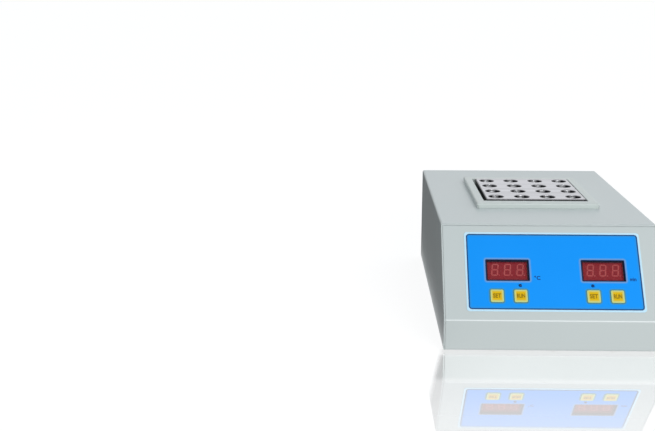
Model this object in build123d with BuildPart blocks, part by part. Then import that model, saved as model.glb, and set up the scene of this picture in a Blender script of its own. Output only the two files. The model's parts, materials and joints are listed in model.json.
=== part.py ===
"""Bench reactor for chemical oxygen demand tests.

A folded-steel case stands on four low rubber feet. A drilled aluminium block rises through a
raised collar in its top and holds sixteen digestion vials. The sloping front carries two
three-digit displays and four keys, and the mains inlet and the power switch are at the back.

Millimetres, +Z up, +X to the right and +Y to the rear. The origin is on the table, under the
middle of the case.
"""

from build123d import *
import os
from math import atan2, cos, radians, sin, sqrt

os.makedirs("parts", exist_ok=True)

# ---------------------------------------------------------------- case
case_width = 220.0
case_depth = 346.0
case_height = 115.0  # table to the top sheet
floor_gap = 1.5  # table to the underside of the case
band_height = 32.8  # table to the crease of the front panel
slope_run = 63.8  # depth taken by the sloping part of the front panel
sheet = 1.5  # steel sheet of the case
bend = 2.2  # outside radius of its bends
crease_bend = 3.0  # outside radius of the front panel's crease
tight_bend = 1.7  # outside radius of its top bend, close under the cover's edge
nest_gap = 0.15  # play between sheets that nest
lip_width = 14.0  # in-turned bottom edges of the cover
flange_width = 18.0  # returned edges of the front and rear panels
tray_wall = 10.0
corner_relief = 4.0
rear_recess = 6.0  # the cover's rear edge stands past the rear panel

# ---------------------------------------------------------------- fasteners
screw_d = 3.0
screw_clearance = 0.4  # a clearance hole is this much wider than its screw
thread_gap = 0.1  # a tapped hole is this much wider than the screw in it
screw_end_gap = 1.0  # between a screw's end and the bottom of its hole
screw_head_d = 6.0
screw_head_h = 1.1
screw_head_chamfer = 0.4
screw_length = 6.0
nut_width = 5.5
nut_height = 2.4
stud_end = 1.0  # a stud stands this far past its nut
cover_screw_inset = 8.0  # from the cover's side
cover_screw_ends = 60.0  # from the front and the rear of the case
panel_screw_spacing = 120.0
panel_screw_inset = 10.0  # from the face of the panel

# ---------------------------------------------------------------- feet
foot_d = 16.0
foot_inset_x = 26.0
foot_inset_y = 34.0
foot_recess_d = 7.4
foot_recess = 1.7
foot_chamfer = 0.5

# ---------------------------------------------------------------- collar
collar_height = 5.5
collar_x = 1.0
collar_front = 14.0  # width of its front flange
collar_rear = 11.0  # width of its rear flange
collar_side = 9.0  # width of its side flanges
collar_sheet = 1.2
collar_bend = 1.6
collar_lip_round = 0.7
collar_skirt = 9.0  # how far the inner skirt reaches below the top sheet
collar_seam = 0.5
skirt_gap = 0.3  # between the skirt and the top sheet
block_gap_x = 2.5  # between the block and the collar's opening, where the block is in its middle
block_gap_y = 3.5
block_shift = 1.2  # the block stands this far right of the opening's middle
collar_stud_spacing = 80.0
collar_stud_reach = 6.5

# ---------------------------------------------------------------- heating block
block_width = 109.0
block_depth = 112.0
block_height = 80.0
block_proud = 1.0  # above the collar
block_share = 0.5983  # front of the case to the middle of the block, as a share of the depth
block_chamfer = 0.8
well_count = 4  # on each side of the square pattern
well_spacing = 28.5
well_d = 16.5
well_depth = 60.0
well_tip = 4.8  # drill point below the full bore
well_chamfer = 0.6
heater_count = 4
heater_spacing = 24.0
heater_d = 10.0
heater_gap = 0.1
heater_drop = 10.0  # axis above the underside of the block
heater_tail = 7.0  # how far a heater stands out at the rear
lead_d = 2.0
lead_length = 16.0
lead_spacing = 4.0
probe_d = 4.0
probe_depth = 50.0
probe_height = 45.0  # axis above the underside of the block
probe_nut = 8.0
probe_lead_d = 3.2
probe_window = 10.0  # hole in the insulation for the nut
cutout_d = 16.0
cutout_length = 9.0
cutout_height = 36.0  # axis above the underside of the block
cutout_plate = 1.0
cutout_plate_width = 7.0
cutout_screw_spacing = 24.0
cutout_screw_depth = 4.0
cutout_tab_spacing = 8.0
tab_thick = 0.8
tab_width = 6.3
tab_length = 7.0

# ---------------------------------------------------------------- insulation
insulation_wall = 20.0
insulation_play = 0.5
insulation_drop = 12.0  # top sheet to the top of the insulation
jacket_sheet = 1.0
spacer_d = 12.0
block_screw_d = 4.0
block_screw_head_d = 8.0
block_screw_head_h = 2.4
block_screw_chamfer = 0.8
block_screw_depth = 12.0
spacer_reach_x = 24.0  # middle of the block to a spacer
spacer_reach_y = 46.0
lead_window = 96.0  # width of the opening at the rear for the heater leads
lead_window_top = 50.0  # its top, above the underside of the block

# ---------------------------------------------------------------- front panel fittings
overlay_width = 177.0
overlay_height = 84.8
overlay_x = 1.5
overlay_sheet = 0.4
overlay_radius = 3.0
display_x = 3.0  # middle of the two displays
display_spacing = 95.6
display_up = 1.2  # above the middle of the slope
window_width = 42.6
window_height = 21.9
window_radius = 0.6
filter_lap = 3.4  # how far the filter reaches past its window
filter_thick = 2.0
module_width = 37.8
module_height = 19.0
module_depth = 8.0
module_gap = 0.2
module_radius = 0.6
key_size = 13.1
key_radius = 1.6
key_round = 0.5  # on the edge of its face
key_spacing = 23.6
key_down = 26.3  # below the middle of the slope
key_gap = 0.25
key_proud = 0.8
key_flange = 1.0
key_flange_lap = 1.1
key_back_gap = 0.1
key_stem_d = 4.0
key_travel = 0.5
tact_size = 6.4
tact_height = 5.0
tact_bore = 4.4
tact_play = 1.3  # under the stem of a pressed key
stem_entry = 1.2
lamp_d = 3.0
lamp_down = 15.0
lamp_gap = 0.2
lamp_proud = 0.9
lamp_round = 1.4
lamp_spacer_d = 4.8
lamp_body = 4.0
board_thick = 1.6
display_board_height = 50.0
display_board_down = 9.0
display_board_inset = 4.5
display_stud_gap = 2.5  # between the right filter and the spacers beside it
stud_spacer_d = 6.0

# ---------------------------------------------------------------- control board
control_side = 35.0  # side of the case to the board
control_front = 28.0  # front of the case to the board
control_rear = 16.0  # between the board and the insulation's jacket
control_rise = 10.0
control_inset = 5.0
board_radius = 2.0
standoff_width = 5.5

# places on the control board are shares of its width and depth, from its middle
relay_share = (-0.307, 0.302)
relay_size = (19.0, 15.4, 15.6)
relay_radius = 0.8
relay_chamfer = 0.5
terminal_spacing = 7.5
terminal_count = 6
terminal_depth = 10.0
terminal_height = 14.0
terminal_shoulder = 8.4  # height at which its face slopes back
terminal_slope = 2.5  # how far the slope runs back
terminal_inset = 8.0  # from the board's rear edge
terminal_screw_d = 4.0
terminal_screw_depth = 2.0
terminal_mouth_width = 5.5
terminal_mouth_height = 4.6
terminal_mouth_depth = 5.0
terminal_mouth_rise = 3.5  # middle of the mouth above the board
capacitor_share = (0.307, -0.209)
capacitor_spacing = 15.0
capacitor_d = 12.5
capacitor_height = 20.0
capacitor_round = 0.8
sink_share = (-0.32, -0.093)
sink_width = 44.0
sink_depth = 16.0
sink_height = 25.0
sink_back = 3.0
fin_count = 8
fin_thick = 1.2
triac_size = (10.2, 4.5, 15.0)
triac_rise = 4.0
pin_spacing = 2.54
pin_width = 0.8
pin_thick = 0.6
processor_share = (0.027, 0.07)
processor_size = (37.0, 14.0, 4.2)
processor_chamfer = 0.4
processor_notch = 1.6
processor_notch_depth = 1.0
buzzer_share = (0.347, 0.14)
buzzer_d = 12.0
buzzer_height = 9.0
buzzer_port = 2.4
header_size = (22.0, 6.0, 9.0)
ribbon_width = 19.0
ribbon_thick = 0.9
ribbon_bend = 4.0
ribbon_x = 20.0
ribbon_down = 22.0  # below the middle of the slope
ribbon_drop = 6.0  # its upright run above the control board's header

# ---------------------------------------------------------------- transformer
transformer_side = 68.0  # side of the case to its middle
core_width = 48.0
core_height = 40.0
core_stack = 18.0
core_leg = 16.0
core_yoke = 8.0
coil_gap = 0.2
coil_depth = 32.0
coil_radius = 3.0
foot_plate_width = 66.0
foot_plate_thick = 1.2
foot_plate_radius = 2.0
transformer_screw_spacing = 57.0

# ---------------------------------------------------------------- rear fittings
inlet_side = 44.0  # side of the case to its middle
inlet_z = 42.0
inlet_flange_width = 50.0
inlet_flange_height = 36.0
inlet_flange = 2.5
inlet_flange_radius = 3.5
inlet_flange_chamfer = 0.7
inlet_body_width = 28.4
inlet_body_height = 31.0
inlet_body_depth = 27.0
inlet_body_gap = 0.2
inlet_screw_spacing = 40.0
inlet_screw_length = 8.0
socket_width = 24.2
socket_height = 16.6
socket_chamfer = 4.6
socket_depth = 17.0
socket_up = 5.4
blade_width = 4.0
blade_thick = 2.0
blade_spacing = 7.0
blade_offset = 2.0
blade_inset = 1.0
blade_tab = 8.0
blade_chamfer = 0.5
drawer_width = 21.6
drawer_height = 8.0
drawer_length = 23.0
drawer_down = 9.6
drawer_gap = 0.2
drawer_lip = 0.8
drawer_lip_width = 10.8
drawer_wall = 1.5  # at the front of the fuse's trough
fuse_play = 0.25  # at each end of the fuse
fuse_drop = 0.4  # top of the fuse below the top of the drawer
fuse_d = 5.2
fuse_tube_d = 4.6
fuse_length = 20.0
fuse_cap = 5.0
inlet_to_switch = 48.0  # between their middles
switch_bezel_width = 15.0
switch_bezel_height = 21.0
switch_bezel = 1.8
switch_bezel_radius = 1.2
switch_bezel_chamfer = 0.5
switch_body_width = 12.8
switch_body_height = 18.8
switch_body_depth = 14.0
rocker_width = 10.6
rocker_reach = 8.6
rocker_gap = 0.2
rocker_pit = 9.0
rocker_sink = 1.5  # pivot behind the face of the bezel
rocker_swing = 9.0  # degrees to each side of the middle
rocker_valley = 2.2
rocker_foot = 7.7  # half width of its flat underside
rocker_pin_d = 2.4
rocker_pin = 1.2
pin_gap = 0.05
switch_tab_width = 4.8
switch_tab_spacing = 6.3
vent_count = 15
vent_spacing = 9.0
vent_width = 4.0
vent_height = 24.0
vent_z = 84.0
floor_vent_count = 7
floor_vent_length = 46.0
floor_vent_spacing = 10.0

# ---------------------------------------------------------------- worked-out places
front = -case_depth / 2
rear = case_depth / 2
half = case_width / 2
inner_half = half - sheet
under_tray = floor_gap + sheet
floor_top = under_tray + sheet
rear_face = rear - rear_recess
rear_inside = rear_face - sheet
top_inside = case_height - sheet
slope_rise = case_height - band_height
slope_angle = atan2(slope_run, slope_rise)
slope_plane = Plane(
    origin=(0, front + slope_run / 2, band_height + slope_rise / 2),
    x_dir=(1, 0, 0),
    z_dir=(0, -cos(slope_angle), sin(slope_angle)),
)

window_places = [(display_x + side * display_spacing / 2, display_up) for side in (-1, 1)]
key_places = [(x + side * key_spacing / 2, -key_down) for x, _ in window_places for side in (-1, 1)]
lamp_places = [(key_places[1][0], -lamp_down), (key_places[2][0], -lamp_down)]
module_face = sheet + filter_thick + module_gap
display_board_depth = module_face + module_depth
display_board_back = display_board_depth + board_thick
filter_right = display_x + display_spacing / 2 + window_width / 2 + filter_lap
display_stud_x = filter_right - overlay_x + display_stud_gap + stud_spacer_d / 2
display_board_width = 2 * (display_stud_x + display_board_inset)
display_stud_y = display_board_height / 2 - display_board_inset
display_stud_places = [
    (overlay_x + i * display_stud_x, j * display_stud_y - display_board_down)
    for i in (-1, 1)
    for j in (-1, 1)
]

block_x = collar_x + block_shift
block_middle = front + block_share * case_depth
opening_width = block_width + 2 * block_gap_x
opening_depth = block_depth + 2 * block_gap_y
collar_width = opening_width + 2 * collar_side
collar_depth = opening_depth + collar_front + collar_rear
collar_y = block_middle + (collar_rear - collar_front) / 2
collar_top = case_height + collar_height
block_top = collar_top + block_proud
block_bottom = block_top - block_height
block_front = block_middle - block_depth / 2
block_rear = block_middle + block_depth / 2
insulation_top = case_height - insulation_drop
jacket_width = block_width + 2 * (insulation_wall + jacket_sheet)
jacket_depth = block_depth + 2 * (insulation_wall + jacket_sheet)
jacket_floor = floor_top + jacket_sheet
collar_stud_places = [
    (collar_x + side * collar_stud_spacing / 2, y)
    for side in (-1, 1)
    for y in (
        block_middle - (opening_depth + collar_front) / 2,
        block_middle + (opening_depth + collar_rear) / 2,
    )
]
foot_places = [
    (side * (half - foot_inset_x), y)
    for y in (front + foot_inset_y, rear - foot_inset_y)
    for side in (-1, 1)
]
cover_screw_places = [
    (side * (half - cover_screw_inset), y)
    for side in (-1, 1)
    for y in (front + cover_screw_ends, (front + rear) / 2, rear - cover_screw_ends)
]
panel_screw_places = [
    (side * panel_screw_spacing / 2, y)
    for side in (-1, 0, 1)
    for y in (front + panel_screw_inset, rear_face - panel_screw_inset)
]
transformer_x = half - transformer_side
inlet_x = inlet_side - half
switch_x = inlet_x + inlet_to_switch
control_width = case_width - 2 * control_side
control_depth = block_front - insulation_wall - jacket_sheet - control_rear - front - control_front
control_middle = front + control_front + control_depth / 2
control_bottom = floor_top + control_rise
control_top = control_bottom + board_thick
transformer_middle = (block_rear + insulation_wall + jacket_sheet + rear_inside) / 2
transformer_screw_places = [
    (transformer_x + side * transformer_screw_spacing / 2, transformer_middle) for side in (-1, 1)
]
standoff_places = [
    (i * (control_width / 2 - control_inset), control_middle + j * (control_depth / 2 - control_inset))
    for i in (-1, 1)
    for j in (-1, 1)
]


def slope_at(depth):
    """The plane this far behind the face of the sloping panel."""
    return slope_plane.offset(-depth)


def level(height, x=0.0, y=0.0):
    """A horizontal plane at this height."""
    return Plane(origin=(x, y, height), x_dir=(1, 0, 0), z_dir=(0, 0, 1))


def on_board(share):
    """A place on the control board, from shares of its width and depth."""
    return (share[0] * control_width, control_middle + share[1] * control_depth)


def rear_plane(x, z, out=0.0):
    """A plane this far out from the rear panel's face, seen from behind."""
    return Plane(origin=(x, rear_face + out, z), x_dir=(-1, 0, 0), z_dir=(0, 1, 0))


def finish(piece, name):
    """Label a finished piece and write it."""
    piece.label = name
    export_step(piece, f"parts/{name}.step")


# ---------------------------------------------------------------- cover
with BuildPart() as cover:
    with BuildSketch(Plane.XZ.offset(-rear)):
        with BuildLine():
            FilletPolyline(
                (-half + lip_width, floor_gap),
                (-half, floor_gap),
                (-half, case_height),
                (half, case_height),
                (half, floor_gap),
                (half - lip_width, floor_gap),
                radius=bend,
            )
            offset(amount=sheet, side=Side.RIGHT)
        make_face()
    extrude(amount=case_depth)
    # the slope
    with BuildSketch(Plane.YZ):
        Polygon((front, band_height), (front + slope_run, case_height), (front, case_height), align=None)
    extrude(amount=half, both=True, mode=Mode.SUBTRACT)
    # the collar's skirt and studs pass through the top
    with BuildSketch(level(case_height)):
        with Locations((collar_x, block_middle)):
            Rectangle(
                opening_width + 2 * (collar_sheet + skirt_gap), opening_depth + 2 * (collar_sheet + skirt_gap)
            )
        with Locations(*collar_stud_places):
            Circle((screw_d + screw_clearance) / 2)
    extrude(amount=-sheet, mode=Mode.SUBTRACT)
    # the lips start behind the front panel and end at the rear panel
    with BuildSketch(level(floor_gap)):
        with Locations((0, front)):
            Rectangle(2 * inner_half, 2 * (bend + nest_gap))
        with Locations((0, rear)):
            Rectangle(2 * inner_half, 2 * rear_recess)
    extrude(amount=bend + nest_gap, mode=Mode.SUBTRACT)
    with BuildSketch(level(floor_gap)):
        with Locations(*cover_screw_places):
            Circle((screw_d + screw_clearance) / 2)
    extrude(amount=sheet, mode=Mode.SUBTRACT)
finish(cover.part, "cover")

# ---------------------------------------------------------------- front panel
panel_top = top_inside - nest_gap
panel_top_run = slope_run * (panel_top - band_height) / slope_rise
panel_half = inner_half - nest_gap
flange_half = half - lip_width - nest_gap
with BuildPart() as front_panel:
    with BuildSketch(Plane.YZ):
        with BuildLine():
            FilletPolyline(
                (front + flange_width, floor_gap),
                (front, floor_gap),
                (front, band_height),
                (front + panel_top_run, panel_top),
                (front + panel_top_run + flange_width, panel_top),
                radius=[bend, crease_bend, tight_bend],
            )
            offset(amount=sheet, side=Side.RIGHT)
        make_face()
    extrude(amount=panel_half, both=True)
    # displays, keys and lamps
    with BuildSketch(slope_at(-sheet)):
        with Locations(*window_places):
            RectangleRounded(window_width, window_height, window_radius)
        with Locations(*key_places):
            RectangleRounded(key_size + 2 * key_gap, key_size + 2 * key_gap, key_radius + key_gap)
        with Locations(*lamp_places):
            Circle(lamp_d / 2 + lamp_gap)
    extrude(amount=-3 * sheet, mode=Mode.SUBTRACT)
    # welded studs that carry the display board
    with BuildSketch(slope_at(sheet)):
        with Locations(*display_stud_places):
            Circle(screw_d / 2)
    extrude(amount=-(display_board_back - sheet + nut_height + stud_end))
    # the bottom flange fits between the cover's lips
    with BuildSketch(level(floor_gap)):
        for side in (-1, 1):
            with Locations((side * (flange_half + lip_width / 2), front + bend + flange_width / 2)):
                Rectangle(lip_width, flange_width)
        with Locations(*[place for place in panel_screw_places if place[1] < 0]):
            Circle((screw_d + screw_clearance) / 2)
    extrude(amount=sheet, mode=Mode.SUBTRACT)
finish(front_panel.part, "front_panel")

# ---------------------------------------------------------------- rear panel
rear_top = top_inside - nest_gap
with BuildPart() as rear_panel:
    with BuildSketch(Plane.YZ):
        with BuildLine():
            FilletPolyline(
                (rear_face - flange_width, floor_gap),
                (rear_face, floor_gap),
                (rear_face, rear_top),
                (rear_face - flange_width, rear_top),
                radius=bend,
            )
            offset(amount=sheet, side=Side.LEFT)
        make_face()
    extrude(amount=panel_half, both=True)
    with BuildSketch(rear_plane(0, 0)):
        with Locations((-inlet_x, inlet_z)):
            Rectangle(inlet_body_width + 2 * inlet_body_gap, inlet_body_height + 2 * inlet_body_gap)
            with GridLocations(inlet_screw_spacing, 1, 2, 1):
                Circle((screw_d + screw_clearance) / 2)
        with Locations((-switch_x, inlet_z)):
            Rectangle(switch_body_width + 2 * inlet_body_gap, switch_body_height + 2 * inlet_body_gap)
        with Locations((0, vent_z)):
            with GridLocations(vent_spacing, 1, vent_count, 1):
                SlotOverall(vent_height, vent_width, rotation=90)
    extrude(amount=-sheet, mode=Mode.SUBTRACT)
    with BuildSketch(level(floor_gap)):
        for side in (-1, 1):
            with Locations((side * (flange_half + lip_width / 2), rear_face - flange_width / 2)):
                Rectangle(lip_width, flange_width)
        with Locations(*[place for place in panel_screw_places if place[1] > 0]):
            Circle((screw_d + screw_clearance) / 2)
    extrude(amount=bend + nest_gap, mode=Mode.SUBTRACT)
finish(rear_panel.part, "rear_panel")

# ---------------------------------------------------------------- base tray
tray_front = front + sheet + nest_gap
tray_rear = rear_inside - nest_gap
tray_middle = (tray_front + tray_rear) / 2
tray_half = inner_half - nest_gap
with BuildPart() as base_tray:
    with BuildSketch(level(under_tray)):
        with Locations((0, tray_middle)):
            Rectangle(2 * tray_half, tray_rear - tray_front)
    extrude(amount=tray_wall)
    fillet(base_tray.faces().sort_by(Axis.Z)[0].edges(), radius=bend)
    offset(amount=-sheet, openings=base_tray.faces().sort_by(Axis.Z)[-1])
    # corners are open where the four walls were folded up
    with BuildSketch(level(under_tray)):
        with Locations((0, tray_middle)):
            with GridLocations(2 * tray_half, tray_rear - tray_front, 2, 2):
                Rectangle(2 * corner_relief, 2 * corner_relief)
    extrude(amount=tray_wall, mode=Mode.SUBTRACT)
    with BuildSketch(level(under_tray)):
        with Locations(*cover_screw_places, *panel_screw_places):
            Circle((screw_d + thread_gap) / 2)
        with Locations(*foot_places, *standoff_places, *transformer_screw_places):
            Circle((screw_d + screw_clearance) / 2)
        with Locations((block_x, block_middle)):
            with GridLocations(2 * spacer_reach_x, 2 * spacer_reach_y, 2, 2):
                Circle((block_screw_d + screw_clearance) / 2)
        with Locations((0, control_middle)):
            with GridLocations(1, floor_vent_spacing, 1, floor_vent_count):
                SlotOverall(floor_vent_length, vent_width)
    extrude(amount=sheet, mode=Mode.SUBTRACT)
finish(base_tray.part, "base_tray")

# ---------------------------------------------------------------- collar
with BuildPart() as collar:
    with BuildSketch(level(case_height)):
        with Locations((collar_x, collar_y)):
            Rectangle(collar_width, collar_depth)
    extrude(amount=collar_height)
    fillet(collar.faces().sort_by(Axis.Z)[-1].edges(), radius=collar_bend)
    offset(amount=-collar_sheet, openings=collar.faces().sort_by(Axis.Z)[0])
    with BuildSketch(level(collar_top)):
        with Locations((collar_x, block_middle)):
            Rectangle(opening_width, opening_depth)
    extrude(amount=-collar_sheet, mode=Mode.SUBTRACT)
    # inner skirt, folded down around the opening
    with BuildSketch(level(case_height - collar_skirt)):
        with Locations((collar_x, block_middle)):
            Rectangle(opening_width + 2 * collar_sheet, opening_depth + 2 * collar_sheet)
            Rectangle(opening_width, opening_depth, mode=Mode.SUBTRACT)
    extrude(amount=collar_skirt + collar_height - collar_sheet / 2)
    opening_edges = collar.faces().sort_by(Axis.Z)[-1].inner_wires().edges()
    fillet(opening_edges, radius=collar_lip_round)
    # open seams at the outer corners
    with BuildSketch(level(case_height)):
        with Locations((collar_x, collar_y)):
            with GridLocations(collar_width - collar_sheet, collar_depth - collar_sheet, 2, 2):
                Rectangle(collar_seam, 2 * collar_sheet, rotation=45)
    extrude(amount=collar_height - collar_bend, mode=Mode.SUBTRACT)
    # studs that hold the collar to the top sheet
    with BuildSketch(level(collar_top - collar_sheet)):
        with Locations(*collar_stud_places):
            Circle(screw_d / 2)
    extrude(amount=-(collar_height - collar_sheet + collar_stud_reach))
finish(collar.part, "collar")

# ---------------------------------------------------------------- heating block
with BuildPart() as well_cutter:
    with BuildSketch(Plane.XZ):
        Polygon(
            (0, 0),
            (well_d / 2 + well_chamfer, 0),
            (well_d / 2, -well_chamfer),
            (well_d / 2, -well_depth),
            (0, -well_depth - well_tip),
            align=None,
        )
    revolve(axis=Axis.Z)

heater_axis = block_bottom + heater_drop
heater_places = [
    (block_x + (i - (heater_count - 1) / 2) * heater_spacing, heater_axis) for i in range(heater_count)
]
with BuildPart() as heating_block:
    with BuildSketch(level(block_top, block_x, block_middle)):
        Rectangle(block_width, block_depth)
    extrude(amount=-block_height)
    chamfer(heating_block.edges().filter_by(Axis.Z), length=block_chamfer)
    chamfer(heating_block.faces().sort_by(Axis.Z)[-1].edges(), length=block_chamfer)
    with Locations((block_x, block_middle, block_top)):
        with GridLocations(well_spacing, well_spacing, well_count, well_count):
            add(well_cutter.part, mode=Mode.SUBTRACT)
    with BuildSketch(Plane.XZ.offset(-block_rear)):
        with Locations(*heater_places):
            Circle(heater_d / 2 + heater_gap)
    extrude(amount=block_depth, mode=Mode.SUBTRACT)
    with BuildSketch(level(block_bottom, block_x, block_middle)):
        with GridLocations(2 * spacer_reach_x, 2 * spacer_reach_y, 2, 2):
            Circle((block_screw_d + thread_gap) / 2)
    extrude(amount=block_screw_depth, mode=Mode.SUBTRACT)
    with BuildSketch(Plane.XZ.offset(-block_front)):
        with Locations((block_x, block_bottom + probe_height)):
            Circle(probe_d / 2 + heater_gap)
    extrude(amount=-(probe_depth + screw_end_gap), mode=Mode.SUBTRACT)
    with BuildSketch(Plane.XZ.offset(-block_rear)):
        with Locations((block_x, block_bottom + cutout_height)):
            with GridLocations(cutout_screw_spacing, 1, 2, 1):
                Circle((screw_d + thread_gap) / 2)
    extrude(amount=cutout_screw_depth, mode=Mode.SUBTRACT)
finish(heating_block.part, "heating_block")

with BuildPart() as cartridge_heaters:
    with BuildSketch(Plane.XZ.offset(-(block_rear + heater_tail))):
        with Locations(*heater_places):
            Circle(heater_d / 2)
    extrude(amount=block_depth + heater_tail - heater_gap)
    with BuildSketch(Plane.XZ.offset(-(block_rear + heater_tail))):
        with Locations(*heater_places):
            with GridLocations(lead_spacing, 1, 2, 1):
                Circle(lead_d / 2)
    extrude(amount=-lead_length)
finish(cartridge_heaters.part, "cartridge_heaters")

with BuildPart() as temperature_sensor:
    with BuildSketch(Plane.XZ.offset(-block_front)):
        with Locations((block_x, block_bottom + probe_height)):
            Circle(probe_d / 2)
    extrude(amount=-probe_depth)
    with BuildSketch(Plane.XZ.offset(-block_front)):
        with Locations((block_x, block_bottom + probe_height)):
            RegularPolygon(probe_nut / 2, 6, major_radius=False)
    extrude(amount=probe_nut / 2)
    with BuildSketch(Plane.XZ.offset(-block_front)):
        with Locations((block_x, block_bottom + probe_height)):
            Circle(probe_lead_d / 2)
    extrude(amount=insulation_wall + jacket_sheet + probe_nut)
finish(temperature_sensor.part, "temperature_sensor")

with BuildPart() as thermal_cutout:
    with BuildSketch(Plane.XZ.offset(-block_rear)):
        with Locations((block_x, block_bottom + cutout_height)):
            SlotCenterToCenter(cutout_screw_spacing, cutout_plate_width)
            with GridLocations(cutout_screw_spacing, 1, 2, 1):
                Circle((screw_d + screw_clearance) / 2, mode=Mode.SUBTRACT)
    extrude(amount=-cutout_plate)
    with BuildSketch(Plane.XZ.offset(-(block_rear + cutout_plate))):
        with Locations((block_x, block_bottom + cutout_height)):
            Circle(cutout_d / 2)
    extrude(amount=-(cutout_length - cutout_plate))
    with BuildSketch(Plane.XZ.offset(-(block_rear + cutout_length))):
        with Locations((block_x, block_bottom + cutout_height)):
            with GridLocations(cutout_tab_spacing, 1, 2, 1):
                Rectangle(tab_thick, tab_width)
    extrude(amount=-tab_length)
finish(thermal_cutout.part, "thermal_cutout")

# ---------------------------------------------------------------- insulation and supports
with BuildPart() as insulation_case:
    with BuildSketch(level(floor_top, block_x, block_middle)):
        Rectangle(jacket_width, jacket_depth)
    extrude(amount=insulation_top - floor_top)
    fillet(insulation_case.edges().filter_by(Axis.Z), radius=bend)
    offset(amount=-jacket_sheet, openings=insulation_case.faces().sort_by(Axis.Z)[-1])
    with BuildSketch(level(floor_top, block_x, block_middle)):
        with GridLocations(2 * spacer_reach_x, 2 * spacer_reach_y, 2, 2):
            Circle((block_screw_d + screw_clearance) / 2)
    extrude(amount=jacket_sheet, mode=Mode.SUBTRACT)
    # the heater leads leave at the rear and the sensor's lead at the front
    with BuildSketch(Plane.XZ.offset(-(block_rear + insulation_wall + 2 * jacket_sheet))):
        with Locations((block_x, block_bottom + lead_window_top / 2)):
            Rectangle(lead_window, lead_window_top)
    extrude(amount=3 * jacket_sheet, mode=Mode.SUBTRACT)
    with BuildSketch(Plane.XZ.offset(-block_front)):
        with Locations((block_x, block_bottom + probe_height)):
            Circle(probe_window / 2)
    extrude(amount=insulation_wall + 2 * jacket_sheet, mode=Mode.SUBTRACT)
finish(insulation_case.part, "insulation_case")

pad_width = jacket_width - 2 * (jacket_sheet + insulation_play)
pad_depth = jacket_depth - 2 * (jacket_sheet + insulation_play)
with BuildPart() as insulation_base:
    with BuildSketch(level(jacket_floor, block_x, block_middle)):
        Rectangle(pad_width, pad_depth)
        with GridLocations(2 * spacer_reach_x, 2 * spacer_reach_y, 2, 2):
            Circle(spacer_d / 2 + insulation_play, mode=Mode.SUBTRACT)
    extrude(amount=block_bottom - jacket_floor)
finish(insulation_base.part, "insulation_base")

with BuildPart() as insulation_sleeve:
    with BuildSketch(level(block_bottom, block_x, block_middle)):
        Rectangle(pad_width, pad_depth)
        Rectangle(block_width + 2 * insulation_play, block_depth + 2 * insulation_play, mode=Mode.SUBTRACT)
    extrude(amount=insulation_top - block_bottom)
    with BuildSketch(Plane.XZ.offset(-(block_rear + insulation_wall + jacket_sheet))):
        with Locations((block_x, block_bottom + lead_window_top / 2)):
            Rectangle(lead_window, lead_window_top)
    extrude(amount=insulation_wall + jacket_sheet, mode=Mode.SUBTRACT)
    with BuildSketch(Plane.XZ.offset(-block_front)):
        with Locations((block_x, block_bottom + probe_height)):
            Circle(probe_window / 2)
    extrude(amount=insulation_wall + jacket_sheet, mode=Mode.SUBTRACT)
finish(insulation_sleeve.part, "insulation_sleeve")

with BuildPart() as block_spacers:
    with BuildSketch(level(jacket_floor, block_x, block_middle)):
        with GridLocations(2 * spacer_reach_x, 2 * spacer_reach_y, 2, 2):
            Circle(spacer_d / 2)
            Circle((block_screw_d + screw_clearance) / 2, mode=Mode.SUBTRACT)
    extrude(amount=block_bottom - jacket_floor)
finish(block_spacers.part, "block_spacers")

with BuildPart() as block_screws:
    with BuildSketch(level(under_tray, block_x, block_middle)):
        with GridLocations(2 * spacer_reach_x, 2 * spacer_reach_y, 2, 2):
            Circle(block_screw_head_d / 2)
    extrude(amount=-block_screw_head_h)
    chamfer(block_screws.faces().filter_by(Axis.Z).group_by(Axis.Z)[0].edges(), length=block_screw_chamfer)
    with BuildSketch(level(under_tray, block_x, block_middle)):
        with GridLocations(2 * spacer_reach_x, 2 * spacer_reach_y, 2, 2):
            Circle(block_screw_d / 2)
    extrude(amount=block_bottom - under_tray + block_screw_depth - screw_end_gap)
finish(block_screws.part, "block_screws")

# ---------------------------------------------------------------- front panel fittings
with BuildPart() as panel_overlay:
    with BuildSketch(slope_at(0)):
        with Locations((overlay_x, 0)):
            RectangleRounded(overlay_width, overlay_height, overlay_radius)
        with Locations(*window_places):
            RectangleRounded(window_width, window_height, window_radius, mode=Mode.SUBTRACT)
        with Locations(*key_places):
            RectangleRounded(
                key_size + 2 * key_gap, key_size + 2 * key_gap, key_radius + key_gap, mode=Mode.SUBTRACT
            )
        with Locations(*lamp_places):
            Circle(lamp_d / 2 + lamp_gap, mode=Mode.SUBTRACT)
    extrude(amount=overlay_sheet)
finish(panel_overlay.part, "panel_overlay")

for side, place in zip(("left", "right"), window_places):
    with BuildPart() as display_window:
        with BuildSketch(slope_at(sheet)):
            with Locations(place):
                Rectangle(window_width + 2 * filter_lap, window_height + 2 * filter_lap)
        extrude(amount=-filter_thick)
    finish(display_window.part, f"window_{side}")

    with BuildPart() as led_module:
        with BuildSketch(slope_at(module_face)):
            with Locations(place):
                Rectangle(module_width, module_height)
        extrude(amount=-module_depth)
        fillet(led_module.edges().filter_by(Axis((0, 0, 0), slope_plane.z_dir)), radius=module_radius)
    finish(led_module.part, f"led_module_{side}")

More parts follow.
